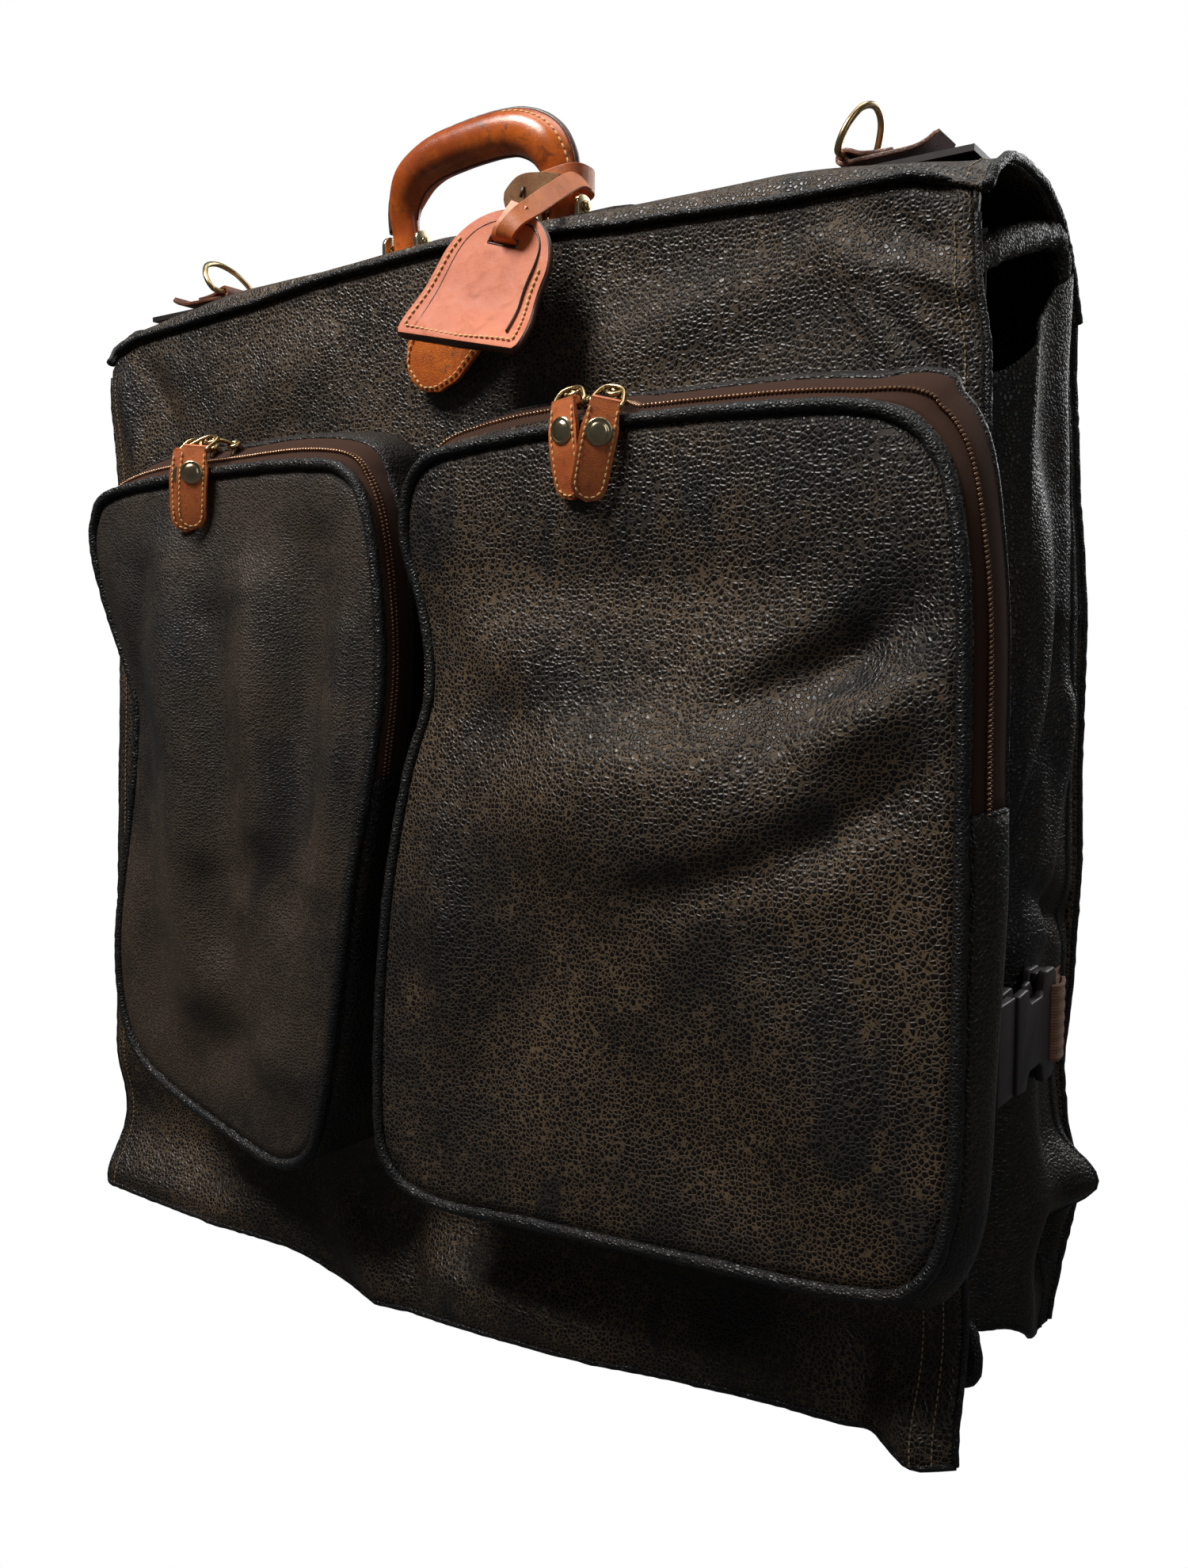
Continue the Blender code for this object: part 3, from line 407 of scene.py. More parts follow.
def pebbled(name, cell=0.0024, stone=(0.0048, 0.0046, 0.0048), brown=(0.0078, 0.0057, 0.0043),
            groove=(0.120, 0.077, 0.040), dim=(0.028, 0.019, 0.012), worn=0.12, depth=0.0006, gloss=0.28):
    """Printed suede: dark glossy stones with a lighter, rough network between them, scuffed in patches."""
    p = Paint(name)
    wobble = p.node("TexNoise", Vector=p.coords, Scale=220.0, Detail=1.0).outputs["Color"]
    shake = p.node("VectorMath", {"operation": "SCALE"}, [wobble], Scale=0.0007).outputs[0]
    where = p.node("VectorMath", {"operation": "ADD"}, [p.coords, shake]).outputs[0]
    edge = p.cells(1 / cell, vector=where)
    patch = p.noise(7.0, 4.0, 0.6)
    cloud = p.noise(22.0, 5.0, 0.65)
    fine = p.noise(900.0, 2.0, 0.6)
    streak = p.noise(9.0, 4.0, 0.6, p.stretched((2.2, 2.2, 1.1), (0.3, 0.9, 0.2)), 0.6)
    blend = p.math("ADD", p.math("MULTIPLY", patch, 0.55), p.math("MULTIPLY", cloud, 0.45))
    dark = p.range(blend, 0.40, 0.58)
    smudge = p.range(streak, 0.56, 0.66)
    stones = p.mix(dark, stone, brown)
    stones = p.mix(p.math("MULTIPLY", fine, 0.35), stones, (0.0, 0.0, 0.0))
    grooves = p.mix(p.range(blend, 0.36, 0.60), dim, groove)
    grooves = p.mix(p.math("MULTIPLY", smudge, 0.6), grooves, (0.008, 0.009, 0.011))
    ridge = p.range(edge, 0.035, 0.125)
    colour = p.mix(ridge, grooves, stones)
    haze = p.math("MULTIPLY", p.range(p.noise(12.0, 5.0, 0.7, None, 0.4), 0.50, 0.72), worn)
    colour = p.mix(haze, colour, (0.030, 0.021, 0.014))
    colour = p.mix(p.math("MULTIPLY", smudge, 0.35), colour, (0.004, 0.005, 0.0065))
    dome = p.range(edge, 0.0, 0.30)
    normal = p.bump(dome, 0.62, depth)
    normal = p.bump(fine, 0.12, 0.00012, normal)
    rough = p.math("ADD", p.math("MULTIPLY", ridge, -0.36), gloss + 0.44)
    rough = p.math("ADD", rough, p.math("MULTIPLY", p.math("SUBTRACT", cloud, 0.5), 0.35), True)
    return p.finish(colour, rough, normal, Specular_IOR_Level=0.36)


def leather(name, light, deep, burn, scale=1.0, gloss=0.32, coat=0.25, grainy=0.5, cell=0.0011):
    """Smooth vegetable-tanned leather: pores, fine creases, uneven colour and darker burnish."""
    p = Paint(name)
    big = p.noise(28.0 * scale, 4.0, 0.6)
    mid = p.noise(110.0 * scale, 4.0, 0.65, None, 0.5)
    pores = p.cells(1 / cell, randomness=1.0)
    fine = p.noise(1500.0, 2.0, 0.6)
    colour = p.mix(p.range(big, 0.36, 0.62), deep, light)
    colour = p.mix(p.math("MULTIPLY", p.range(mid, 0.50, 0.75), 0.75), colour, burn)
    colour = p.mix(p.math("MULTIPLY", p.range(pores, 0.10, 0.0), 0.40 * grainy), colour, burn)
    normal = p.bump(p.range(pores, 0.0, 0.25), 0.35 * grainy, 0.00016)
    normal = p.bump(mid, 0.35, 0.0005, normal)
    normal = p.bump(fine, 0.15, 0.00006, normal)
    rough = p.math("ADD", gloss - 0.12, p.math("MULTIPLY", mid, 0.28))
    return p.finish(colour, rough, normal, Coat_Weight=coat, Coat_Roughness=0.22)


def metal(name, light, dark, rough=0.22):
    p = Paint(name)
    cloud = p.noise(120.0, 4.0, 0.6)
    scratch = p.noise(600.0, 2.0, 0.5, p.stretched((1.0, 1.0, 7.0), (0.4, 0.2, 0.0)))
    colour = p.mix(p.range(cloud, 0.35, 0.7), light, dark)
    normal = p.bump(scratch, 0.12, 0.00008)
    roughness = p.math("ADD", rough - 0.08, p.math("MULTIPLY", cloud, 0.2))
    return p.finish(colour, roughness, normal, Metallic=1.0)


def woven(name, light, dark, across, along, turn=(0, 0, 0), rough=0.85, depth=0.0003, sheen=0.3):
    """Cloth or webbing: ribs one way and threads the other."""
    p = Paint(name)
    where = p.stretched((1, 1, 1), turn)
    ribs = p.node("TexWave", {"wave_type": "BANDS", "bands_direction": "Z"}, Vector=where, Scale=across,
                  Distortion=0.6, Detail=2.0)
    threads = p.node("TexWave", {"wave_type": "BANDS", "bands_direction": "DIAGONAL"}, Vector=where,
                     Scale=along, Distortion=0.4, Detail=2.0)
    both = p.math("MULTIPLY", ribs.outputs["Fac"], threads.outputs["Fac"])
    cloud = p.noise(60.0, 4.0, 0.6)
    colour = p.mix(both, dark, light)
    colour = p.mix(p.math("MULTIPLY", cloud, 0.4), colour, dark)
    height = p.math("ADD", ribs.outputs["Fac"], p.math("MULTIPLY", threads.outputs["Fac"], 0.6))
    normal = p.bump(height, 0.8, depth)
    return p.finish(colour, rough, normal, Sheen_Weight=sheen, Sheen_Roughness=0.4,
                    Specular_IOR_Level=0.2 + sheen)


def thread(name, light, dark):
    p = Paint(name)
    twist = p.node("TexWave", {"wave_type": "BANDS", "bands_direction": "DIAGONAL"}, Vector=p.coords,
                   Scale=900.0, Distortion=0.5).outputs["Fac"]
    colour = p.mix(p.math("ADD", p.math("MULTIPLY", twist, 0.5), p.math("MULTIPLY", p.noise(200.0), 0.5)),
                   dark, light)
    return p.finish(colour, 0.7, p.bump(twist, 0.5, 0.0001))


def plastic(name, colour, deep):
    p = Paint(name)
    cloud = p.noise(70.0, 4.0, 0.6)
    texture = p.noise(1300.0, 2.0, 0.6)
    shade = p.mix(p.range(cloud, 0.3, 0.7), deep, colour)
    return p.finish(shade, p.math("ADD", 0.36, p.math("MULTIPLY", cloud, 0.2)),
                    p.bump(texture, 0.25, 0.00008))


M = {
    "suede": pebbled("suede"),
    "smooth": pebbled("suede_worn_smooth", 0.0019, (0.0110, 0.0092, 0.0084), (0.0360, 0.0240, 0.0160),
                      (0.066, 0.045, 0.029), (0.026, 0.0185, 0.013), 0.55, 0.0004, 0.38),
    "piping": pebbled("suede_piping", 0.0019, (0.0040, 0.0042, 0.0048), (0.0060, 0.0055, 0.0052),
                      (0.014, 0.011, 0.009), (0.007, 0.006, 0.005), 0.0, 0.0005, 0.26),
    # side: the same suede with its stones and grooves painted much darker, as painted shade for the side walls,
    # floors and pocket gussets that face away from the lights
    "side": pebbled("suede_side_painted_shade", 0.0024, (0.0036, 0.0036, 0.0040), (0.0080, 0.0060, 0.0045),
                    (0.036, 0.025, 0.015), (0.010, 0.0075, 0.0055), 0.05),
    "lining": woven("lining", (0.022, 0.014, 0.012), (0.010, 0.007, 0.006), 900.0, 1100.0),
    "handle": leather("handle_leather", (0.64, 0.135, 0.012), (0.34, 0.058, 0.006), (0.070, 0.015, 0.005),
                      1.0, 0.27, 0.25),
    "tag": leather("tag_leather", (0.66, 0.150, 0.036), (0.54, 0.105, 0.022), (0.36, 0.075, 0.022), 0.8,
                   0.56, 0.0),
    "sleeve": leather("sleeve_leather", (0.78, 0.185, 0.012), (0.52, 0.105, 0.008), (0.17, 0.036, 0.008),
                      1.6, 0.40, 0.15, 1.4, 0.0016),
    "rough": leather("strap_rough_side", (0.50, 0.26, 0.12), (0.38, 0.175, 0.075), (0.24, 0.10, 0.04), 2.0,
                     0.85, 0.0, 0.6),
    "edge": leather("leather_edge", (0.075, 0.024, 0.011), (0.035, 0.012, 0.007), (0.015, 0.006, 0.004),
                    2.0, 0.42, 0.2),
    "dark": leather("dark_trim_leather", (0.030, 0.018, 0.015), (0.018, 0.012, 0.011),
                    (0.008, 0.006, 0.006), 2.0, 0.38, 0.3, 1.0),
    "brass": metal("brass", (0.62, 0.47, 0.24), (0.40, 0.27, 0.12)),
    "pale": metal("pale_brass", (0.62, 0.52, 0.34), (0.42, 0.32, 0.18), 0.2),
    "teeth": metal("zip_teeth", (0.50, 0.31, 0.20), (0.26, 0.15, 0.09), 0.30),
    "steel": metal("steel", (0.42, 0.41, 0.40), (0.27, 0.27, 0.27), 0.3),
    "tape": woven("zip_tape", (0.105, 0.043, 0.021), (0.040, 0.0155, 0.0080), 1500.0, 1900.0, (0, 0, 0),
                  0.95, 0.00016, 0.05),
    "webbing": woven("webbing", (0.62, 0.300, 0.155), (0.22, 0.095, 0.045), 210.0, 620.0, (0, 0, 0), 0.85,
                     0.0006),
    "plastic": plastic("buckle_plastic", (0.024, 0.0165, 0.0155), (0.016, 0.011, 0.011)),
    "card": woven("card", (0.75, 0.72, 0.64), (0.62, 0.58, 0.50), 700.0, 800.0, (0, 0, 0), 0.9, 0.00005),
    "cream": thread("cream_thread", (0.95, 0.66, 0.30), (0.66, 0.38, 0.13)),
    "tan": thread("tan_thread", (0.34, 0.24, 0.13), (0.16, 0.11, 0.06)),
    "pull": leather("pull_leather", (0.68, 0.185, 0.050), (0.48, 0.110, 0.026), (0.22, 0.046, 0.012), 1.5,
                    0.38, 0.18, 0.8),
    "strap": leather("strap_leather", (0.66, 0.190, 0.042), (0.50, 0.120, 0.024), (0.26, 0.055, 0.013), 1.2,
                     0.46, 0.05, 0.6),
    "tag_line": leather("tag_pressed_leather", (0.36, 0.095, 0.040), (0.30, 0.075, 0.030),
                        (0.20, 0.045, 0.018), 1.0, 0.4, 0.1),
    "dark_tan": leather("loop_leather", (0.20, 0.060, 0.024), (0.10, 0.030, 0.014), (0.035, 0.012, 0.008),
                        1.5, 0.42, 0.2, 1.2, 0.0014),
}


# Camera, light and world


def set_stage():
    data = bpy.data.cameras.new("camera")
    data.sensor_fit = "VERTICAL"
    data.sensor_width = data.sensor_height = 36.0
    data.lens = 31.83
    camera = bpy.data.objects.new("camera", data)
    SCENE.collection.objects.link(camera)
    yaw, pitch = 0.5887, 0.0851
    way = Vector((-math.sin(yaw) * math.cos(pitch), math.cos(yaw) * math.cos(pitch), -math.sin(pitch)))
    camera.location = (0.4928, -0.6392, -0.2814)
    camera.rotation_euler = way.to_track_quat("-Z", "Y").to_euler()
    SCENE.camera = camera

    for name, where, aim, size, power, tint in (
        ("key_light", (-0.75, -1.25, 1.95), (0.0, 0.0, -0.25), (1.0, 1.0), 94, (1.0, 0.985, 0.955)),
        ("side_light", (2.1, -0.75, 0.55), (0.1, 0.0, -0.25), (0.5, 1.5), 4, (0.97, 0.985, 1.0)),
        ("top_light", (0.2, 0.4, 1.9), (0.0, 0.0, 0.0), (1.6, 1.6), 20, (1.0, 1.0, 1.0)),
        ("back_light", (0.6, 2.2, 0.9), (0.0, 0.1, -0.2), (1.5, 1.5), 30, (1.0, 1.0, 1.0)),
    ):
        light = bpy.data.lights.new(name, "AREA")
        light.shape = "RECTANGLE"
        light.size, light.size_y = size
        light.energy = power
        light.color = tint
        lamp = bpy.data.objects.new(name, light)
        lamp.location = where
        lamp.rotation_euler = (Vector(aim) - Vector(where)).to_track_quat("-Z", "Y").to_euler()
        SCENE.collection.objects.link(lamp)

    world = bpy.data.worlds.new("studio")
    world.use_nodes = True
    tree = world.node_tree
    dim = tree.nodes["Background"]
    dim.inputs["Color"].default_value = (1.0, 1.0, 1.0, 1)
    dim.inputs["Strength"].default_value = 0.07
    white = tree.nodes.new("ShaderNodeBackground")
    white.inputs["Color"].default_value = (1.0, 1.0, 1.0, 1)
    seen = tree.nodes.new("ShaderNodeLightPath")
    both = tree.nodes.new("ShaderNodeMixShader")
    tree.links.new(seen.outputs["Is Camera Ray"], both.inputs[0])
    tree.links.new(dim.outputs[0], both.inputs[1])
    tree.links.new(white.outputs[0], both.inputs[2])
    tree.links.new(both.outputs[0], tree.nodes["World Output"].inputs["Surface"])
    SCENE.world = world
    SCENE.view_settings.view_transform = "Standard"


# Front panel, seam and front gusset

SEAM_Z = mm([(-292, -15), (-282, -8), (-262, -3), (-233, -1), (-170, 3), (-87, 10), (-10, 13),
             (60, 9), (115, 5), (200, 1), (258, 0.5), (282, -6), (292, -10)])
FRONT_LOW = mm([(-295, -565), (-200, -571), (-130, -573), (-50, -587), (80, -579),
                (190, -573), (250, -571), (272, -577), (297, -573)])
RIGHT_EDGE = mm([(-575, 297), (-530, 295), (-460, 297), (-300, 296), (-120, 296),
                 (-80, 295), (-47, 290), (-20, 288), (0, 287)])
LEFT_EDGE = mm([(-575, -297), (-510, -296), (-260, -290), (-90, -288), (-40, -293), (0, -294)])
# Creases as start (x, z), end (x, z), half width and depth inwards
FRONT_FOLDS = mm([
    ((262, -72), (225, -22), 12, -5.5), ((284, -52), (255, -36), 7, -4.5), ((275, -85), (240, -45), 6, 4),
    ((270, -30), (246, -12), 6, 3), ((205, -30), (90, -60), 18, -3.5), ((-100, -30), (-200, -75), 20, -3),
    ((-260, -12), (-230, -60), 9, 3), ((-280, -30), (-262, -85), 10, -3.5), ((10, -556), (100, -562), 14, -6),
    ((-20, -572), (-35, -535), 10, 5), ((-95, -535), (-50, -580), 13, -7), ((-190, -562), (-130, -535), 16,
                                                                            -5),
    ((170, -560), (230, -530), 18, -5), ((255, -575), (247, -535), 9, 6), ((285, -590), (272, -555), 10, -6),
])
SIDE = 0.2935  # half the width of the panel and the cover
PANEL = 2 * SIDE
EDGE_GAP = 0.004  # spacing of the rings along a bound edge


def front_y(x, z):
    """Depth of the front panel's outer face: soft folds, a recess under the pockets and a flared hem."""
    y = -0.014 * (max(0.0, -z) / 0.57) ** 1.3
    y += 0.0030 * grain(x, z, 6.5, 1) + 0.0016 * grain(x, z, 15.0, 2)
    low = smooth(-0.47, -0.52, z)
    y += low * (0.010 * (1 - smooth(-0.525, -0.56, z)) - 0.004 * smooth(-0.54, -0.575, z))
    y -= low * 0.004 * math.sin(x * 19 + 0.6) * smooth(-0.50, -0.56, z)
    for fold in FRONT_FOLDS:
        y += crease(x, z, *fold)
    return y


def front_point(u, v):
    """u across 0 to 1, v from the seam at 0 to the hem at 1."""
    x0 = mix(-SIDE, SIDE, u)
    z = mix(table(SEAM_Z, x0), table(FRONT_LOW, x0), v)
    x = mix(table(LEFT_EDGE, z), table(RIGHT_EDGE, z), u)
    rim = 0.0022 * (1 - smooth(0.0, 0.010, v)) + 0.0012 * smooth(0.985, 1.0, v)
    edge = min(u, 1 - u) * PANEL
    return vec(x, front_y(x, z) * smooth(0.0, 0.05, v) + rim + 0.0022 * (1 - smooth(0.0, 0.004, edge)), z)


def blend_front(piece):
    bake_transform(piece)


def bound(shape, line, radius, gap=EDGE_GAP, sides=8, bump=0.25):
    """A bound edge along the line."""
    shape.tube(resample(line, gap), radius, sides, bump=bump)


def make_front():
    gaps = 220
    sheet = Shape()
    sheet.grid([[front_point(u, v) for u in spread(0, 1, gaps)] for v in spread(0, 1, gaps)], flip=True)
    blend_front(sheet.piece("front_panel_cloth", None, M["suede"], "suede", ["front_panel"], solid=0.0026))

    hem = Shape()
    for u, first in ((1 - 0.009 / PANEL, 3), (1 - 0.0185 / PANEL, 98), (0.009 / PANEL, 3)):
        hem.stitches([front_point(u, r / 120) + vec(0, -0.0003, 0) for r in range(first, 121)])
    blend_front(hem.piece("front_panel_stitches", None, M["tan"], "suede"))

    rim = Shape()
    bound(rim, [front_point(u, 1) + vec(0, 0.0012, 0) for u in spread(0, 1, 160)], 0.0021)
    for u in (0.0, 1.0):
        bound(rim, [front_point(u, r / 120) + vec(0, 0.0010, 0) for r in range(2, 121)], 0.0019)
    blend_front(rim.piece("front_panel_hem", None, M["piping"], "suede"))

    cord = Shape()
    line = [vec(x, -0.0012, table(SEAM_Z, x) + 0.0006) for x in spread(-0.288, 0.278, 150)]
    cord.tube(line, lambda t: 0.0018 * smooth(0, 0.01, t) * smooth(1.0, 0.985, t) + 0.0003, 10, bump=0.3)
    cord.piece("front_seam_cord", "spine", M["piping"], "suede")


def front_gusset_x(y, z, sign):
    """The soft side wall of the front half, tucked in behind the panel's edge."""
    tuck = 0.010 + 0.010 * smooth(0.0, 0.040, y)
    return sign * (SIDE - tuck + 0.003 * grain(y * 3, z, 11.0, 4 + sign) + 0.002 * math.sin(z * 31 + sign))


def make_lining(name, body, x, top, y, seed, node):
    """The lining of one half: x is its half width and top the z of its upper edge."""
    lining = Shape()
    lining.grid([[vec(a, y + 0.0015 * grain(a, z, 9, seed), z) for a in spread(-x, x, 40)]
                 for z in spread(top, -0.560, 40)])
    lining.piece(name, body, M["lining"], "lining", [node], solid=0.002, offset=0.0)


def make_front_gusset():
    for sign, side in SIDES:
        wall = Shape()
        wall.grid([[vec(front_gusset_x(y, z, sign), y, z) for y in spread(0.002, 0.042, 14)]
                   for z in spread(-0.010, -0.548, 90)], flip=sign < 0)
        stands = ["front_gusset"] if sign > 0 else []
        wall.piece(f"front_gusset_{side}", "front_half", M["side"], "suede", stands, solid=0.0022)
    floor = Shape()
    rows = []
    for r, y in enumerate(spread(0.001, 0.042, 8)):
        sag = -0.548 - 0.006 * math.sin(math.pi * r / 8)
        rows.append([vec(x, y, sag + 0.003 * grain(x, y, 12, 8)) for x in spread(-0.276, 0.276, 90)])
    floor.grid(rows)
    floor.piece("front_gusset_floor", "front_half", M["side"], "suede", solid=0.0022)
    tab = Shape()
    path = mm([(278, 16, -518), (290, 14, -523), (294, 12, -534), (292, 13, -544), (280, 16, -548)])
    tab.tube(spline(path, 6), 0.0035, 12, deep=0.006, bump=0.2)
    tab.piece("inner_hem_curl", "front_half", M["piping"], "suede")
    make_lining("front_lining", "front_half", 0.279, -0.014, 0.0435, 5, "front_inner_panel")


# Top cover

# (share of the way from front to back, y, z) along the cover's arch, in its middle and at its ends
MIDDLE_ARCH = [(0.0, 0.0, 0.0), (0.10, 0.004, 0.010), (0.20, 0.016, 0.0185), (0.35, 0.040, 0.0208),
               (0.52, 0.075, 0.0206), (0.68, 0.108, 0.0185), (0.80, 0.132, 0.0090), (0.90, 0.146, -0.009),
               (1.0, 0.1505, -0.031)]
END_ARCH = [(0.0, 0.0, 0.0), (0.10, 0.006, 0.006), (0.20, 0.020, 0.0100), (0.35, 0.045, 0.0125),
            (0.52, 0.079, 0.0120), (0.68, 0.106, 0.0035), (0.80, 0.124, -0.010), (0.90, 0.137, -0.024),
            (1.0, 0.147, -0.038)]
PLATE_Z = 0.0208  # top of the cover under the handle plate


def arch(rows, s):
    return table([(a, b) for a, b, c in rows], s), table([(a, c) for a, b, c in rows], s)


def top_point(u, s):
    x = mix(-SIDE, SIDE, u)
    toward_end = smooth(0.62, 1.0, abs(x) / SIDE)
    y0, z0 = arch(MIDDLE_ARCH, s)
    y1, z1 = arch(END_ARCH, s)
    y, z = mix(y0, y1, toward_end), mix(z0, z1, toward_end)
    z += table(SEAM_Z, x) * (1 - smooth(0.0, 0.30, s))
    lift = 0.0016 * grain(x, y, 9.0, 11) + 0.0009 * grain(x, y, 24.0, 12)
    flat = smooth(0.30, 0.16, abs(y - 0.038) / 0.10)
    z += lift * (1 - 0.8 * flat) * smooth(0.0, 0.08, s) * smooth(1.0, 0.92, s)
    if abs(x) < 0.27 and 0.015 < y < 0.062:
        z = min(z, PLATE_Z)
    bulge = 0.0045 * math.sin(math.pi * s) * smooth(0.96, 1.0, abs(u - 0.5) * 2)
    return vec(x + math.copysign(bulge * 0.3, x), y, z)


def make_top():
    wide, deep = ((200, 90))
    cover = Shape()
    cover.grid([[top_point(u, s) for u in spread(0, 1, wide)] for s in spread(0, 1, deep)])
    cover.piece("top_cover_cloth", "spine", M["suede"], "suede", ["top_cover"], solid=0.0030)
    edges, threads, seam = Shape(), Shape(), Shape()
    inner = 0.010 / PANEL
    for u, inside in ((0.0, inner), (1.0, 1 - inner)):
        bound(edges, [top_point(u, s) for s in spread(0, 1, 60)], 0.0026, 0.003)
        threads.stitches([top_point(inside, s / 60) + vec(0, 0, 0.0003) for s in range(2, 59)])
    edges.piece("top_cover_edges", "spine", M["piping"], "suede")
    threads.piece("top_cover_stitches", "spine", M["tan"], "suede")
    seam.tube([top_point(u, 0.985) + vec(0, 0.0008, 0) for u in spread(0, 1, 120)], 0.0020, 8, bump=0.3)
    seam.piece("rear_seam_cord", "spine", M["piping"], "suede")


# Rear half

REAR_EDGE = mm([(-576, 293), (-540, 297), (-500, 303), (-488, 304), (-460, 297), (-430, 294), (-372, 298),
                (-320, 300), (-270, 298.5), (-222, 299), (-188, 299), (-154, 297), (-122, 294), (-63, 291),
                (-38, 291)])
REAR_LOW = -0.572
# Along the rear gusset from its front edge at 0 to the rear panel at 1
GUSSET_TOP = [(0.0, -0.083), (0.15, -0.075), (0.32, -0.060), (0.5, -0.044), (0.68, -0.026), (0.85, -0.016),
              (1.0, -0.036)]
GUSSET_LOW = [(0.0, -0.547), (0.35, -0.549), (0.7, -0.566), (0.85, -0.574), (1.0, -0.570)]
GUSSET_OUT = [(0.0, 0.262), (0.12, 0.276), (0.30, 0.2885), (0.55, 0.2935), (0.80, 0.2925), (0.92, 0.290),
              (1.0, 0.2905)]
GUSSET_ROLL = mm([(268, 10, -46), (279, 40, -26), (285, 72, -13), (288, 98, -5), (289.5, 113, -4),
                  (290, 121, -12), (290.5, 125, -26), (290.5, 128, -48), (291, 131, -75)])


def rear_panel_point(u, v):
    x0 = mix(-1, 1, u)
    z = mix(-0.034, REAR_LOW, v)
    x = x0 * table(REAR_EDGE, z)
    toward_end = smooth(0.62, 1.0, abs(x0))
    y = 0.1505 - 0.0035 * toward_end * smooth(0.10, 0.0, v)
    y -= 0.010 * smooth(-0.50, REAR_LOW, z) * toward_end
    bend = 0.004 * grain(x, z, 5.0, 21) + 0.0018 * grain(x, z, 13.0, 22)
    y += bend * smooth(0.0, 0.08, v)
    z -= 0.004 * math.sin(x * 14) * smooth(0.9, 1.0, v)
    return vec(x, y, z)


def rear_gusset_point(s, t, sign):
    """The bulging side wall of the rear half, with soft vertical folds and a pinched tip near the bottom."""
    z = mix(table(GUSSET_TOP, s), table(GUSSET_LOW, s), t)
    y = mix(0.049, 0.144, s)
    x = table(GUSSET_OUT, s) + (table(REAR_EDGE, z) - 0.293) * smooth(0.3, 1.0, s)
    wave = math.sin(math.pi * s)
    x += 0.0050 * wave * math.sin(s * 9.0 + 2.2 * grain(0.0, z, 5.0, 31) + z * 5)
    x += 0.0040 * wave * grain(y * 2.5, z, 14.0, 32)
    x -= 0.010 * crease(y, z, (0.118, -0.20), (0.070, -0.335), 0.010, 1.0)
    x += 0.006 * crease(y, z, (0.130, -0.235), (0.100, -0.350), 0.009, 1.0)
    x -= 0.007 * crease(y, z, (0.095, -0.330), (0.135, -0.345), 0.010, 1.0)
    tip = math.exp(-(((z + 0.484) / 0.016) ** 2)) * smooth(0.50, 0.92, s)
    x += 0.018 * tip * (1 - 0.5 * smooth(0.92, 1.0, s))
    x -= 0.014 * math.exp(-(((z + 0.520) / 0.018) ** 2)) * smooth(0.40, 0.75, s) * smooth(1.0, 0.88, s)
    x -= 0.006 * smooth(-0.49, -0.56, z) * (1 - s)
    return vec(sign * x, y, z)


def make_rear_side(sign, side, trim, threads):
    wall, band = Shape(), Shape()
    across, down = ((60, 200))
    wall.grid([[rear_gusset_point(s, t, sign) for s in spread(0, 1, across)] for t in spread(0, 1, down)],
              flip=sign < 0)
    stands = ["rear_gusset"] if sign > 0 else []
    wall.piece(f"rear_gusset_{side}", "rear_half", M["side"], "suede", stands, solid=0.0022)
    bound(trim, [rear_panel_point(0.5 + 0.5 * sign, v) + vec(0, 0.001, 0) for v in spread(0, 1, 120)], 0.0024)
    bound(trim, [rear_gusset_point(0.93, t, sign) + vec(sign * 0.0012, 0, 0) for t in spread(0, 1, 140)],
          0.0021)
    bound(trim, [rear_gusset_point(s, 1.0, sign) for s in spread(0, 1, 30)], 0.0024, 0.003)
    threads.stitches([rear_gusset_point(s / 30, 0.984, sign) + vec(sign * 0.0006, 0, 0)
                      for s in range(2, 28)])
    roll = spline([(sign * x, y, z) for x, y, z in GUSSET_ROLL], 8)
    band.tube(roll, lambda t: mix(0.0075, 0.0035, smooth(0.45, 0.9, t)) * (1 - 0.6 * smooth(0.92, 1.0, t)),
              14,
              bump=0.18)
    band.piece(f"gusset_roll_{side}", "rear_half", M["side"], "suede")


def make_rear():
    gaps = 180
    back, trim, threads, floor, binding = Shape(), Shape(), Shape(), Shape(), Shape()
    back.grid([[rear_panel_point(u, v) for u in spread(0, 1, gaps)] for v in spread(0, 1, gaps)])
    back.piece("rear_panel_cloth", "rear_half", M["suede"], "suede", ["rear_panel"], solid=0.0026)
    for sign, side in SIDES:
        make_rear_side(sign, side, trim, threads)
    bound(trim, [rear_panel_point(u, 1.0) + vec(0, 0.001, 0) for u in spread(0, 1, 120)], 0.0024)
    trim.piece("rear_bound_edges", "rear_half", M["piping"], "suede")
    threads.stitches([rear_panel_point(c / 120, 0.984) + vec(0, 0.0004, 0) for c in range(2, 119)])
    threads.piece("rear_stitches", "rear_half", M["tan"], "suede")
    rows = []
    for r, y in enumerate(spread(0.050, 0.147, 12)):
        sag = table(mm([(50, -547), (100, -556), (147, -566)]), y) - 0.005 * math.sin(math.pi * r / 12)
        rows.append([vec(x, y, sag + 0.003 * grain(x, y, 12, 9)) for x in spread(-0.262, 0.262, 80)])
    floor.grid(rows)
    floor.piece("rear_gusset_floor", "rear_half", M["side"], "suede", solid=0.0022)
    make_lining("rear_lining", "rear_half", 0.262, -0.036, 0.0615, 6, "rear_inner_panel")
    corners = ((-0.262, -0.036), (0.262, -0.036), (0.262, -0.558), (-0.262, -0.558), (-0.262, -0.036))
    binding.tube(resample([vec(x, 0.0600, z) for x, z in corners], 0.01), 0.0022, 8)
    binding.piece("rear_lining_binding", "rear_half", M["piping"], "suede")


# Pockets

ZIP_END = -0.2745
ZIP_Y = -0.0353
TAPE = (0.09, 0.44)  # where the zip tape lies between the front outline and the panel
COIL = 0.20
HOLLOW = 0.0080  # depth of the right face's hollow under the sliders
FACE_FAR, FACE_SOFT = -0.0690, 0.0065  # past this y the pocket face bulges less and less

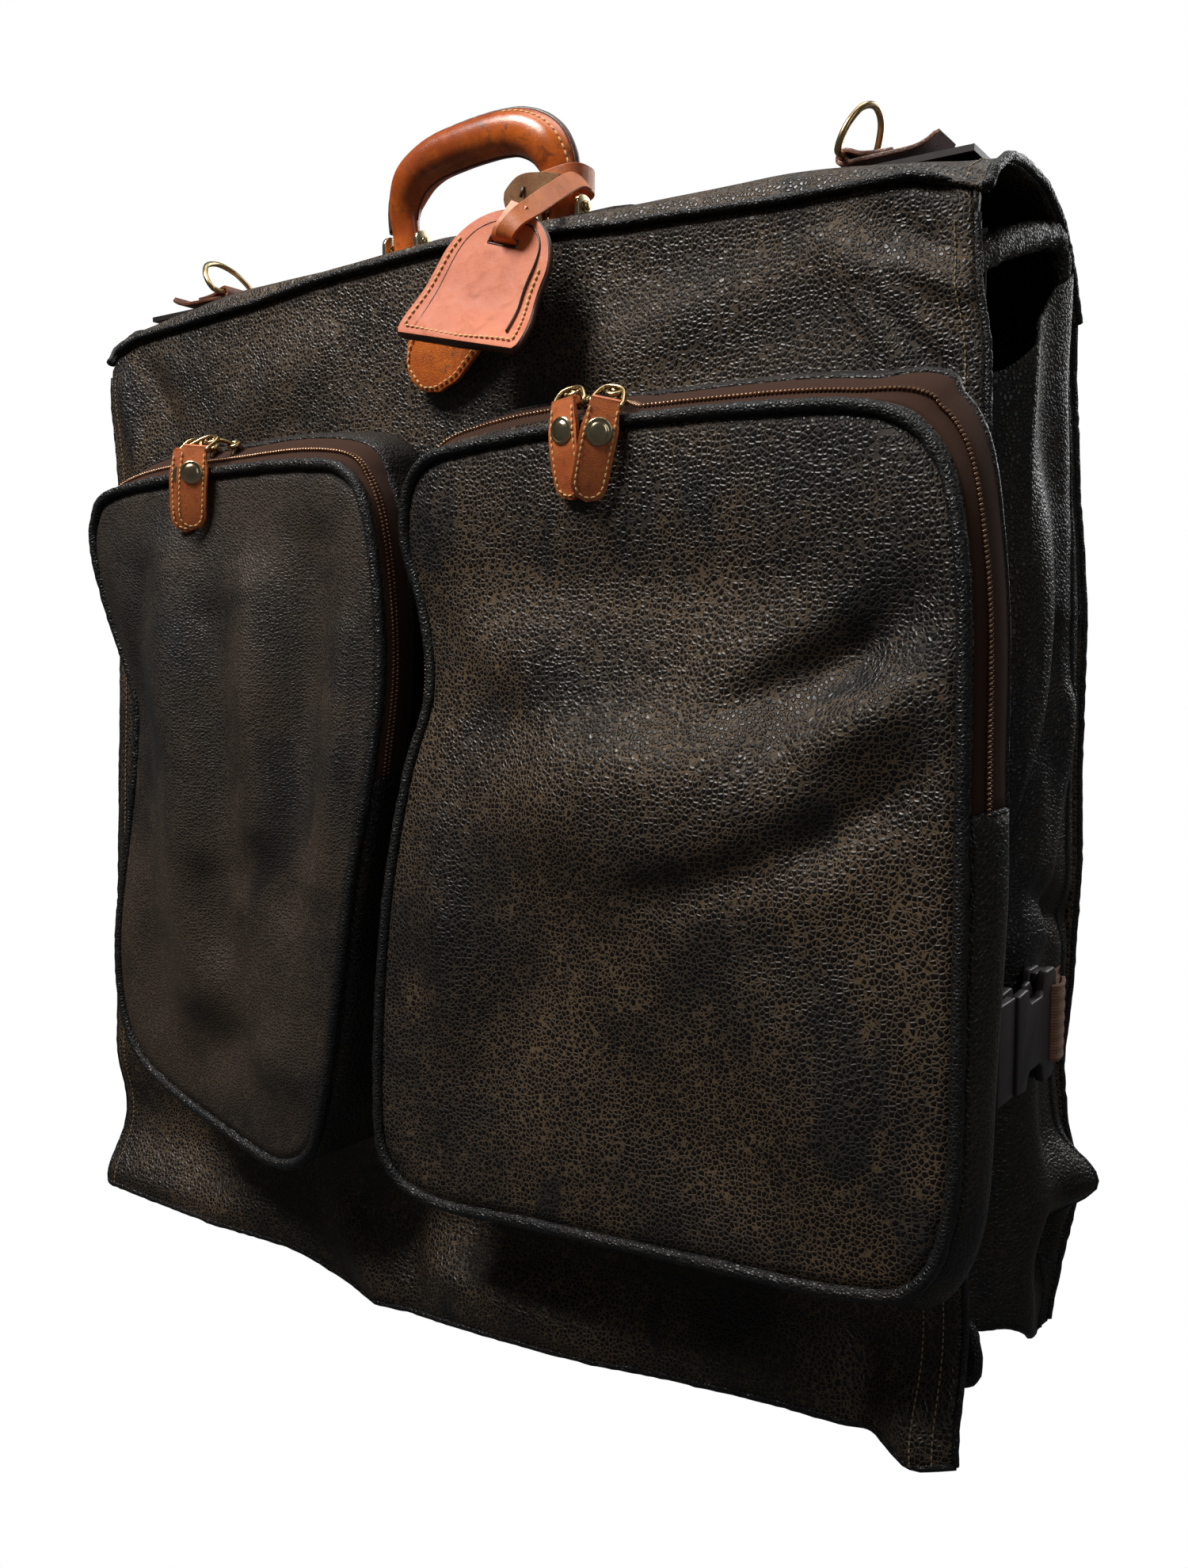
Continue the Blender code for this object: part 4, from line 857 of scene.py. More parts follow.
# Each pocket's front outline as (x, z, y), from the left end of the zip, over the top and round.
FRONT_LOOP = {
    "right": mm([
        (10, -274.5, -52), (22.5, -228, -47), (17.5, -186, -46), (8.5, -148, -50), (20, -116, -54),
        (55, -107, -55), (140, -103.5, -55), (232, -105.5, -55), (274, -112.5, -56), (296.5, -134, -58),
        (306, -176, -60), (307.5, -225, -60), (308, -274.5, -60), (308.5, -350, -60), (307, -435, -60),
        (293, -472, -60), (260, -482.5, -60), (190, -486, -60), (95, -490, -60), (30, -492.5, -60),
        (0, -478, -60), (-6, -440, -60), (-1, -350, -58),
    ]),
    "left": mm([
        (-214, -274.5, -48), (-215, -232, -46), (-232, -185, -49), (-238.5, -150, -54), (-236, -126, -56),
        (-218, -111.5, -56), (-140, -106, -55), (-60, -106.5, -55), (-30, -113, -55), (-15.5, -134, -55),
        (-9, -180, -54), (-8.5, -225, -54), (-15, -274.5, -57), (-26, -330, -60), (-38, -400, -60),
        (-50, -458, -60), (-62, -486, -59), (-88, -496.5, -58), (-130, -486, -57), (-180, -469, -56),
        (-211, -453, -54), (-226, -426, -53), (-228, -380, -53), (-220, -320, -50),
    ]),
}
UPPER = 12  # gaps of the outline that lie along the zip
BASE = {"right": mm((6, 289, -82, -487)), "left": mm((-247, -14, -82, -487))}
FOLDS = {
    "right": mm([
        ((232, -236), (312, -172), 16, 10.5), ((205, -232), (258, -205), 11, 6),
        ((125, -282), (225, -285), 36, -17), ((70, -235), (165, -225), 26, 8),
        ((245, -246), (295, -224), 13, -8), ((170, -315), (245, -292), 15, 7.5),
        ((245, -288), (305, -254), 12, 6.5), ((60, -200), (130, -235), 30, -4.5),
        ((100, -350), (60, -440), 30, 4), ((210, -345), (270, -430), 35, -5),
        ((30, -300), (45, -400), 18, -4), ((150, -420), (220, -465), 30, 3),
    ]),
    "left": mm([
        ((-165, -150), (-150, -400), 20, -9), ((-128, -190), (-118, -330), 16, 5.5),
        ((-98, -175), (-95, -300), 18, -7), ((-52, -150), (-70, -345), 19, 7.5),
        ((-30, -200), (-40, -330), 12, -5), ((-200, -300), (-188, -420), 18, 5),
        ((-190, -160), (-205, -250), 12, 4), ((-100, -420), (-150, -450), 20, 5),
        ((-120, -400), (-75, -445), 20, -6), ((-135, -340), (-110, -420), 14, 5),
    ]),
}


def pocket_lines(side, steps):
    """The closed front outline and the outline on the panel, point for point."""
    front = [vec(x, y, z) for x, z, y in spline(FRONT_LOOP[side], steps, True)]
    left, right, top, low = BASE[side]
    centre = vec((left + right) / 2, 0, (top + low) / 2)
    wide, high = (right - left) / 2, (top - low) / 2
    middle = sum(front, Vector()) / len(front)
    reach_x = max(abs(p.x - middle.x) for p in front)
    reach_z = max(abs(p.z - middle.z) for p in front)
    base = []
    for p in front:
        dx, dz = (p.x - middle.x) / reach_x, (p.z - middle.z) / reach_z
        k = (abs(dx) ** 7 + abs(dz) ** 7) ** (-1 / 7)
        x, z = centre.x + dx * k * wide, centre.z + dz * k * high
        base.append(vec(x, front_y(x, z) - 0.0004, mix(z, p.z, 0.5) if abs(dx) > abs(dz) else z))
    return front, base


def wall_point(side, front, base, i, s):
    """A point on the pocket's side wall: s 0 on the front outline, 1 on the panel."""
    f, b = front[i], base[i]
    left, right, top, low = BASE[side]
    out = vec(f.x - (left + right) / 2, 0, (f.z - (top + low) / 2) * 0.8)
    flat = abs(out.x) / (right - left) * 2
    out.normalize()
    puff = 0.0035 + 0.0035 * smooth(-0.122, -0.108, f.z)
    if side == "right" and out.x > 0:
        puff += 0.0155 * smooth(0.75, 1.0, flat)
    elif side == "right":
        puff += 0.015 * math.exp(-(((f.z + 0.215) / 0.045) ** 2)) * smooth(0.75, 1.0, flat)
        s = s**0.72
    puff += 0.0022 * grain(f.x + s * 0.05, f.z, 16.0, 41)
    return f.lerp(b, s) + out * puff * math.sin(math.pi * min(1.0, s * 1.05))


def make_pocket(side):
    steps = 10
    front, base = pocket_lines(side, steps)
    count = len(front)
    last_zip = UPPER * steps
    rings = 64
    middle = sum(front, Vector()) / count
    cloth = M["suede"] if side == "right" else M["smooth"]
    low, high = vec(middle.x, -0.055, ZIP_END - 0.014), vec(middle.x, -0.055, ZIP_END + 0.014)

    def across(piece):
        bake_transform(piece)

    face = Shape()
    rows = [[wall_point(side, front, base, i, 0.07) for i in range(count)]]
    for r in range(rings + 1):
        k = 1 - 0.985 * (r / rings) ** 1.15
        row = []
        for p in front:
            x, z = mix(middle.x, p.x, k), mix(middle.z, p.z, k)
            inner = 1 - k**3
            y = mix(middle.y, p.y, k * k)
            puff = 0.0055 * smooth(-0.115, -0.235, z) + 0.0010
            for start, end, width, height in FOLDS[side]:
                y += crease(x, z, start, end, width, height) * min(1.0, inner * 1.6)
            y -= puff * inner
            if side == "right":
                y += HOLLOW * math.exp(-(((z + 0.182) / 0.036) ** 2)) * min(1.0, inner * 1.3)
            y += 0.0022 * grain(x, z, 9.0, 51) * inner + 0.0011 * grain(x, z, 21.0, 52) * inner
            y += 0.0020 * smooth(0.965, 1.0, k)
            if y < FACE_FAR:
                y = FACE_FAR - FACE_SOFT * math.tanh((FACE_FAR - y) / FACE_SOFT)
            row.append(vec(x, y, z))
        rows.append(row)
    face.grid(rows, True, True)
    face.faces.append(list(range(len(face.verts) - count, len(face.verts)))[::-1])
    piece = face.piece(f"{side}_pocket_face", None, cloth, "suede", [f"{side}_pocket_flap"], solid=0.0020,
                       offset=1.0)
    across(piece)

    bead = Shape()
    line = [p + (p - middle).normalized() * 0.0012 + vec(0, -0.0012, 0) for p in front]
    bead.tube(resample(line, 0.0032, True), 0.0032, 12, True, bump=0.22)
    under = [wall_point(side, front, base, i, 0.115) + vec(0, 0.0005, 0) for i in range(last_zip + 1, count)]
    piece = bead.piece(f"{side}_pocket_piping", None, M["piping"], "suede")
    across(piece)

    second = Shape()
    second.tube(resample(under, 0.0032), 0.0024, 10, bump=0.22)
    back = [wall_point(side, front, base, i % count, 0.985) for i in range(last_zip, count + 1)]
    second.tube(resample(back, 0.004), 0.0016, 8, bump=0.2)
    second.piece(f"{side}_pocket_lower_piping", "front_half", M["piping"], "suede")

    gusset = Shape()
    lower = list(range(last_zip, count)) + [0]
    gusset.grid([[wall_point(side, front, base, i, s) for s in spread(0.05, 1.0, 14)] for i in lower])
    gusset.piece(f"{side}_pocket_gusset", "front_half", M["side"], "suede", [f"{side}_pocket_pouch"],
                 solid=0.0022, offset=-1.0)

    frame_wall = Shape()
    upper = list(range(0, last_zip + 1))
    frame_wall.grid([[wall_point(side, front, base, i, s) for s in spread(TAPE[1] - 0.02, 1.0, 8)]
                     for i in upper])
    frame_wall.piece(f"{side}_pocket_frame_cloth", "front_half", M["side"], "suede",
                     [f"{side}_pocket_frame"], solid=0.0022, offset=-1.0)

    tape = Shape()
    tape.grid([[wall_point(side, front, base, i, s) for s in spread(TAPE[0] - 0.03, TAPE[1] + 0.02, 10)]
               for i in upper])
    tape.piece(f"{side}_zip_tape", "front_half", M["tape"], "zip_tape", [f"{side}_pocket_zip"],
               solid=0.0012, offset=-1.0)

    trim = Shape()
    edge = [wall_point(side, front, base, i, TAPE[1]) for i in upper]
    outward = lambda p: (vec(p.x - middle.x, 0, p.z - middle.z).normalized())
    trim.tube([p + outward(p) * 0.0008 for p in resample(edge, 0.0035)], 0.0016, 8, bump=0.2)
    for i in (0, last_zip):
        rung = [wall_point(side, front, base, i, s) + vec(0, 0, -0.0006)
                for s in (0.10, 0.22, 0.34, 0.46, 0.58, 0.66)]
        trim.tube(spline([p + outward(p) * 0.0008 for p in rung], 4), 0.0017, 8, bump=0.2)
    trim.piece(f"{side}_zip_hems", "front_half", M["piping"], "suede")

    threads = Shape()
    hem = [wall_point(side, front, base, i, TAPE[1] + 0.06) + outward(front[i]) * 0.0004 for i in upper]
    threads.stitches(hem, radius=0.00035)
    for i in (0, last_zip):
        rung = [wall_point(side, front, base, i, s) + outward(front[i]) * 0.0005 + vec(0, 0, -0.0045)
                for s in (0.14, 0.3, 0.46, 0.6)]
        threads.stitches(rung, radius=0.00035)
    threads.piece(f"{side}_pocket_stitches", "front_half", M["tan"], "suede")

    teeth = Shape()
    path = resample([wall_point(side, front, base, i, COIL) + outward(front[i]) * 0.0010 for i in upper],
                    0.0021)
    for i, ((tangent, skip, normal), p) in enumerate(zip(frames(path), path)):
        out = outward(p)
        deep = tangent.cross(out).normalized()
        turn = Matrix((deep, tangent, out)).transposed()
        for k in (-1, 1):
            at = p + deep * k * 0.0017 + tangent * (0.0005 * k)
            teeth.ball(at, (0.0021, 0.00072, 0.0011), 4, 6, turn)
    teeth.piece(f"{side}_zip_teeth", "front_half", M["teeth"], "zip_tape")


# Sliders and pulls

SLIDERS = {"right": (0.1115, 0.1303), "left": (-0.151, -0.133)}
CAP = mm([(6.4, 0), (6.6, 0.6), (6.2, 1.2), (5.4, 1.4), (5, 1.1), (4.6, 1.1), (4.1, 1.7), (2.8, 2.1),
          (1.2, 2.3),
          (0, 2.3)])  # the snap cap's profile as (radius, height)
# How far each pull leans and twists, in radians, and hangs to the side
LEAN = {("right", 1): -0.09, ("right", 2): 0.24, ("left", 1): 0.02, ("left", 2): 0.10}
TWIST = {("right", 1): -0.15, ("right", 2): 0.52, ("left", 1): 0.45, ("left", 2): 0.50}
ASIDE = {("right", 1): 0.0045, ("right", 2): 0.0090, ("left", 1): 0.0015, ("left", 2): -0.0060}


def make_slider(side, number, x):
    low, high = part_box(f"{side}_slider_{number}")
    foot = low[2] - SHIFT.z
    y = ZIP_Y
    body = Shape()
    outline = [(-0.0042, -0.0040), (-0.0052, 0.0), (-0.0040, 0.0042), (-0.0016, 0.0050), (0.0016, 0.0050),
               (0.0040, 0.0042), (0.0052, 0.0), (0.0042, -0.0040), (0.0018, -0.0052), (-0.0018, -0.0052)]
    body.outline([(x + u, y + v) for u, v in outline], foot + 0.0001, foot + 0.0013, "XYZ")
    body.outline([(x + u * 0.92, y + v * 0.92) for u, v in outline], foot + 0.0024, foot + 0.0036, "XYZ")
    body.outline([(x + u * 0.30, y + v * 0.85) for u, v in outline], foot + 0.0010, foot + 0.0028, "XYZ")
    arch_line = [vec(x, y + 0.0044, foot + 0.0030), vec(x, y + 0.0042, foot + 0.0062),
                 vec(x, y + 0.0010, foot + 0.0080), vec(x, y - 0.0030, foot + 0.0066), vec(x, y - 0.0042,
                                                                                           foot + 0.0030)]
    body.tube(spline(arch_line, 6), 0.0011, 8, deep=0.0019)
    body.piece(f"{side}_slider_{number}_cast", f"{side}_slider_{number}", M["pale"], "brass",
               [f"{side}_slider_{number}"], bevel=0.0003)

    pull = f"{side}_pull_{number}"
    bail = vec(x, y, foot + 0.0051)
    spin = about(bail, LEAN[(side, number)], "Y")
    link = Shape()
    aside = ASIDE[(side, number)]
    bar = vec(x + aside, y - 0.0232 - 0.0025 * (number - 1), foot + 0.0036)
    eye = vec(x + aside * 0.7, y - 0.0165, foot + 0.0098)
    arm = [vec(x, y + 0.0012, foot + 0.0068), vec(x, y - 0.0040, foot + 0.0090),
           vec(x + aside * 0.4, y - 0.0100, foot + 0.0104), eye]
    link.tube(spline(arm, 6), 0.0020, 10, deep=0.0012)
    for middle, size in ((arm[1], 0.0034), (eye, 0.0036)):
        ring = [middle + vec(math.cos(a), math.sin(a) * 0.8, math.sin(a) * 0.5) * size for a in angles(16)]
        link.tube(ring, 0.0013, 8, True)
    hook = [eye + vec(0.0, 0.0004, 0.0024), eye + vec(0.0058, -0.0014, 0.0008),
            bar + vec(0.0086, 0.0006, 0.0010),
            bar + vec(0.0070, 0.0, -0.0012), bar + vec(0.0, 0.0, -0.0014), bar + vec(-0.0070, 0.0, -0.0012),
            bar + vec(-0.0086, 0.0006, 0.0010), eye + vec(-0.0058, -0.0014, 0.0008)]
    link.tube(spline(hook, 6, True), 0.00105, 8, True)
    link.moved(spin)
    link.piece(f"{side}_link_{number}_wire", pull, M["brass"], "brass", [f"{side}_link_{number}"])

    tab = Shape()
    threads = Shape()
    thick = 0.0026
    wide, length, cap_v = 0.0086, 0.047, 0.0150
    top = bar + vec(0, -0.0018, 0.0016)

    def at(u, v, lift):
        """u across, v down from the bar; the tab bows out a little and its tip curls."""
        curl = -0.0022 * math.sin(math.pi * min(1.0, v / length)) + 0.0012 * (v / length) ** 3
        return top + vec(u, curl - lift, -v)

    rows = []
    for k in range(25):
        v = length * (k / 24)
        if v < 0.014:
            half = wide * table([(0, 0.80), (0.006, 0.86), (0.014, 1.02)], v)
        elif v < length - wide:
            half = wide * table([(0.014, 1.02), (length - wide, 1.0)], v)
        else:
            half = wide * math.sqrt(max(0.0004, 1 - ((v - length + wide) / wide) ** 2))
        cuts = (-1, -0.9, -0.5, 0, 0.5, 0.9, 1)
        row = [at(half * c, v, thick * (1 - 0.12 * abs(c))) for c in cuts]
        rows.append(row + [at(half * c, v, 0.0) for c in cuts[::-1]])
    tab.grid(rows, True)
    tab.faces += [list(range(14)), list(range(24 * 14, 25 * 14))[::-1]]
    tab.tube([bar + vec(k, -0.0006, 0.0004) for k in (-0.0066, -0.0033, 0.0, 0.0033, 0.0066)], 0.0022, 10)
    line = [(-wide * 0.74, 0.004), (-wide * 0.76, 0.010), (-wide * 0.80, 0.018)]
    line += [(-math.cos(a) * wide * 0.78, length - wide + math.sin(a) * wide * 0.78)
             for a in spread(0, math.pi, 12)]
    line += [(wide * 0.80, 0.018), (wide * 0.76, 0.010), (wide * 0.74, 0.004)]
    threads.stitches([at(u, v, thick + 0.0001) for u, v in line], 0.0031, 0.0024, 0.00050)
    cap = Shape()
    cap.turned(at(0, cap_v, thick - 0.0002), CAP)
    swing = spin @ about(bar, TWIST[(side, number)], "Z")
    for shape in (tab, threads, cap):
        shape.moved(swing)
    tab.piece(f"{side}_pull_{number}_leather", pull, M["pull"], "tag_leather", [pull], bevel=0.0004)
    threads.piece(f"{side}_pull_{number}_stitches", pull, M["cream"], "tag_leather")
    cap.piece(f"{side}_pull_{number}_cap", pull, M["pale"], "brass")


# Handle

HANDLE_MOVE = -0.0100
HANDLE_LINE = mm([
    (-56, 27.5), (-56.6, 34), (-57.2, 41), (-58, 49), (-56.2, 59), (-49, 70), (-35, 77.2), (-17, 80), (0,
                                                                                                       81.2),
    (16, 81.2), (31, 78.6), (44, 71.2), (52, 60), (55, 49), (56, 41), (56.2, 34), (56, 27.5),
])
HANDLE_Y = 0.038
LEG_X = 0.0568
EAR_INNER, EAR_OUTER, EAR_HALF = 0.0108, 0.0136, 0.0068
PIN_Z = 0.0330


def handle_sections():
    """(share of the length, point, outward way, half thickness, half depth) along the grip."""
    line = resample(spline([(x + HANDLE_MOVE, HANDLE_Y, z) for x, z in HANDLE_LINE], 12), 0.0022)
    for i, (p, (tangent, side, normal)) in enumerate(zip(line, frames(line, up=(0, 1, 0)))):
        t = i / (len(line) - 1)
        full = smooth(0.06, 0.24, t) * smooth(0.94, 0.76, t)
        yield t, p, vec(-tangent.z, 0, tangent.x), mix(0.0092, 0.0116, full), mix(0.0048, 0.0116, full), full


def make_handle():
    grip, core, welt, threads, seam = Shape(), Shape(), Shape(), Shape(), Shape()
    rows, rim, stitched, under = [], [], ([], []), []
    sections = list(handle_sections())
    for t, p, out, thick, deep, full in sections:
        row = []
        for a in angles(32):
            c, s = math.cos(a), math.sin(a)
            pinch = 0.0010 * smooth(0.80, 1.0, c) * full
            row.append(p + out * (power(c, 0.86) * thick + pinch) + vec(0, power(s, 0.86) * deep, 0))
        rows.append(row)
        if 0.075 < t < 0.925:
            rim.append(p + out * (thick + 0.0012))
        if 0.60 < t < 0.95:
            for line, way in zip(stitched, (-1, 1)):
                line.append(p + out * thick * 0.86 + vec(0, way * deep * 0.62, 0))
        if 0.09 < t < 0.91:
            under.append(p - out * (thick - 0.0001))
    grip.skin(rows)
    grip.piece("handle_leather_cover", "handle", M["handle"], "handle_leather", ["handle_grip"])
    core.tube([section[1] for section in sections[2:-2]], 0.0022, 8)
    core.piece("handle_core_rod", "handle", M["steel"], "steel", ["handle_core"])
    welt.tube(rim, 0.0014, 10, deep=0.0022, up=(0, 1, 0), bump=0.1)
    welt.piece("handle_welt_ridge", "handle", M["edge"], "dark_trim", ["handle_welt"])
    threads.stitches(stitched[0], 0.0040, 0.0031, 0.0006)
    threads.stitches(stitched[1], 0.0042, 0.0030, 0.00045)
    threads.piece("handle_stitches", "handle", M["cream"], "handle_leather")
    seam.tube(under, 0.0009, 6, deep=0.0006)
    seam.piece("handle_under_seam", "handle", M["edge"], "dark_trim")


def make_handle_fittings():
    foot = mm([(-15.5, -5.8), (15.5, -5.8), (15.5, 5.8), (-15.5, 5.8)])
    head = mm([(1.6, 0), (3.1, 0), (3, 1), (2.4, 1.9), (1.2, 2.4), (0, 2.4)])
    low = 0.0232
    for sign, side in SIDES:
        x = sign * LEG_X + HANDLE_MOVE
        clevis, pin = Shape(), Shape()
        clevis.outline([(x + u, HANDLE_Y + v) for u, v in foot], low - 0.0004, low + 0.0013, "XYZ")
        for ear in (-1, 1):
            faces = sorted((x + ear * EAR_INNER, x + ear * EAR_OUTER))
            shape = [(HANDLE_Y - EAR_HALF, low), (HANDLE_Y + EAR_HALF, low)]
            shape += [(HANDLE_Y + EAR_HALF * math.cos(a), 0.0335 + 0.0060 * math.sin(a))
                      for a in spread(0, math.pi, 12)]
            clevis.outline(shape, *faces, "YZX")
            pin.turned((x + ear * EAR_OUTER, HANDLE_Y, PIN_Z), head, (ear, 0, 0), 20)
        clevis.piece(f"clevis_{side}_brass", "spine", M["pale"], "brass", [f"handle_clevis_{side}"],
                     bevel=0.0006)
        pin.tube([vec(x + k, HANDLE_Y, PIN_Z) for k in (-0.0140, -0.005, 0.005, 0.0140)], 0.0015, 12)
        pin.piece(f"pin_{side}_brass", "spine", M["brass"], "brass", [f"handle_pin_{side}"])


# D-rings and their leather loops

RING_X, RING_Z = 0.2145, 0.0258
RING_LEAN = {"left": -0.60, "right": 0.45}
# Half of the ring as (y from its middle, z from its bar), and the leather loop as (x outwards, z)
HALF_RING = mm([(-15, 0), (-18.2, 2), (-19, 7.5), (-17.2, 14.5), (-11.2, 22.5)])
LOOP = mm([(47, 28.5), (43, 25.2), (36, 22.8), (24, 22.2), (10, 22.2), (2, 22.3), (-2.6, 23.6), (-3.4, 26.2),
           (-1.6, 28.8), (2.4, 28.5), (8, 26.2), (16, 25), (24, 24.7)])


def leather_section(p, across, normal, half, near, far, edge=0.93, flat=0.5):
    """One ring of points round a strip of leather: near and far are its faces along the normal."""
    cuts = (-1, -edge, -flat, flat, edge, 1)
    row = [p + across * (c * half) + normal * near for c in cuts]
    return row + [p + across * (c * half) + normal * far for c in cuts[::-1]]


def make_ring(side, x):
    ring = Shape()
    curve = list(HALF_RING) + [(0, 0.0262)] + [(-y, z) for y, z in HALF_RING[::-1]] + [(0, 0)]
    ring.tube(spline([(x, HANDLE_Y + y, RING_Z + z) for y, z in curve], 8, True), 0.00165, 12, True)
    bar = vec(x, HANDLE_Y, RING_Z)
    ring.moved(about(bar, RING_LEAN[side], "Y"))
    ring.piece(f"d_ring_{side}_wire", f"d_ring_{side}", M["brass"], "brass", [f"d_ring_{side}"])


def make_rings():
    for sign, side in SIDES:
        x = sign * RING_X
        make_ring(side, x)
        tab, threads = Shape(), Shape()
        points = spline([(x + sign * u, HANDLE_Y, z) for u, z in LOOP], 8)
        last = len(points) - 1
        rows = []
        for i, p in enumerate(points):
            way = (points[min(last, i + 1)] - points[max(0, i - 1)]).normalized()
            half = mix(0.0125, 0.0095, smooth(0.30, 0.55, i / last)) * mix(0.80, 1.0,
                                                                           smooth(0.0, 0.05, i / last))
            normal = vec(-way.z, 0, way.x)
            rows.append(leather_section(p, vec(0, 1, 0), normal, half, 0.0010, -0.0010, 0.95, 0.4))
        tab.skin(rows, flip=sign > 0)
        tab.piece(f"ring_tab_{side}_leather", "spine", M["dark_tan"], "handle_leather", [f"ring_tab_{side}"],
                  bevel=0.0003)
        for k in (-1, 1):
            short = [vec(x + sign * (0.0125 + 0.022 * i / 6), HANDLE_Y + k * 0.0085, 0.0262 - 0.0008 * i / 6)
                     for i in range(3)]
            long = [vec(x + sign * u, HANDLE_Y + k * 0.0108, 0.0237) for u in spread(0.0255, 0.0375, 6)]
            for line in (short, long):
                threads.stitches(line, 0.003, 0.0022, 0.00035)
        threads.piece(f"ring_tab_{side}_stitches", "spine", M["cream"], "handle_leather")


# Luggage tag, key sleeve and strap

TAG_SLOT = vec(0.0513, -0.022, 0.0004)
TAG_TURN = Matrix.Translation(TAG_SLOT) @ Euler((math.radians(-20), math.radians(18), 0)).to_matrix().to_4x4()
SLEEVE_TURN = (Matrix.Translation((0.0513, -0.0075, 0.0004)) @ Euler((0, math.radians(52),
                                                                      0)).to_matrix().to_4x4()
               @ Matrix.Diagonal((1.04, 1, 1.10, 1)))
TAG_TOP, TAG_END = -0.0175, 0.0602
TAG_HALF = 0.034
TAG_FLARE = mm([(16.5, 34), (30, 34.5), (54, 37), (58, 36.6), (60.2, 35)])
PRESSED_LINE = mm([(-26.5, 55), (-26.2, 30), (-25.8, 12), (-22.5, 0.5), (-15, -7.5), (-4, -11.8), (6, -12)])
SLIT = mm([(6, -12), (15, -10), (22.5, -3), (25.8, 8), (26.5, 25), (27.5, 44), (27.8, 52)])
TAG_STITCH = (0.0034, 0.0026, 0.00058)
SLEEVE_HALF = mm([(4, 5.5), (12, 7.5), (26, 13.5), (46, 20), (64, 21.2), (76, 17.5), (82, 12), (85, 6.5),
                  (85.8, 2)])
SLEEVE_TOP, SLEEVE_END = 0.004, 0.0858


def tag_half_width(v):
    """Half the tag's width at v below the slot."""
    if v < 0.0165:
        drop = (v - TAG_TOP) / TAG_HALF
        return TAG_HALF * math.sqrt(max(0.0, 1 - (1 - min(1.0, drop)) ** 2))
    return table(TAG_FLARE, v)


def tag_curl(u, v, lift):
    """A point of the tag: u across, v down from the slot, lift towards the front. The lower corners curl forward."""
    bow = 0.0022 * math.sin(math.pi * min(1.0, (v + 0.017) / 0.077))
    curl = 0.0060 * smooth(0.030, 0.062, v) * (0.35 + 0.65 * smooth(-0.02, 0.037, u))
    low = smooth(0.015, 0.060, v) * smooth(0.0, 0.036, u)
    wave = 0.0015 * math.cos(u * 60) * smooth(0.05, 0.062, v)
    return vec(u + 0.0065 * low, bow * 0.6 - curl - lift, -v + 0.0050 * low + wave)


def slot_point(a, wide, high):
    """A point of the tag's slot in the direction a: wide and high are pairs of its limit and its slope."""
    c, s = math.cos(a), math.sin(a)
    return math.copysign(min(wide[0], abs(c) * wide[1]), c), math.copysign(min(high[0], abs(s) * high[1]), s)


def leaf(name, back, front, paint, node):
    """One layer of the tag between two lifts, as a closed ring round its slot."""
    shape = Shape()
    right = [(0.004, TAG_TOP)] + [(max(0.004, tag_half_width(v)), v)
                                  for v in spread(TAG_TOP, TAG_END, 34)[1:]]
    line = right + [(-w, v) for w, v in right[::-1]]
    hole = [slot_point(math.atan2(v, u), (0.0090, 0.013), (0.0019, 0.006)) for u, v in line]
    rings = [(back, 1.0), (front, 1.0), (front, 0.97)] + [(front, 1 - j / 12) for j in range(1, 13)]
    rings += [(back, j / 12) for j in range(13)]
    shape.grid([[tag_curl(mix(h[0], u, k), mix(h[1], v, k), lift) for (u, v), h in zip(line, hole)]
                for lift, k in rings], True, True)
    shape.moved(TAG_TURN)
    shape.piece(name, "tag", paint, "tag_leather", [node], bevel=0.0004)


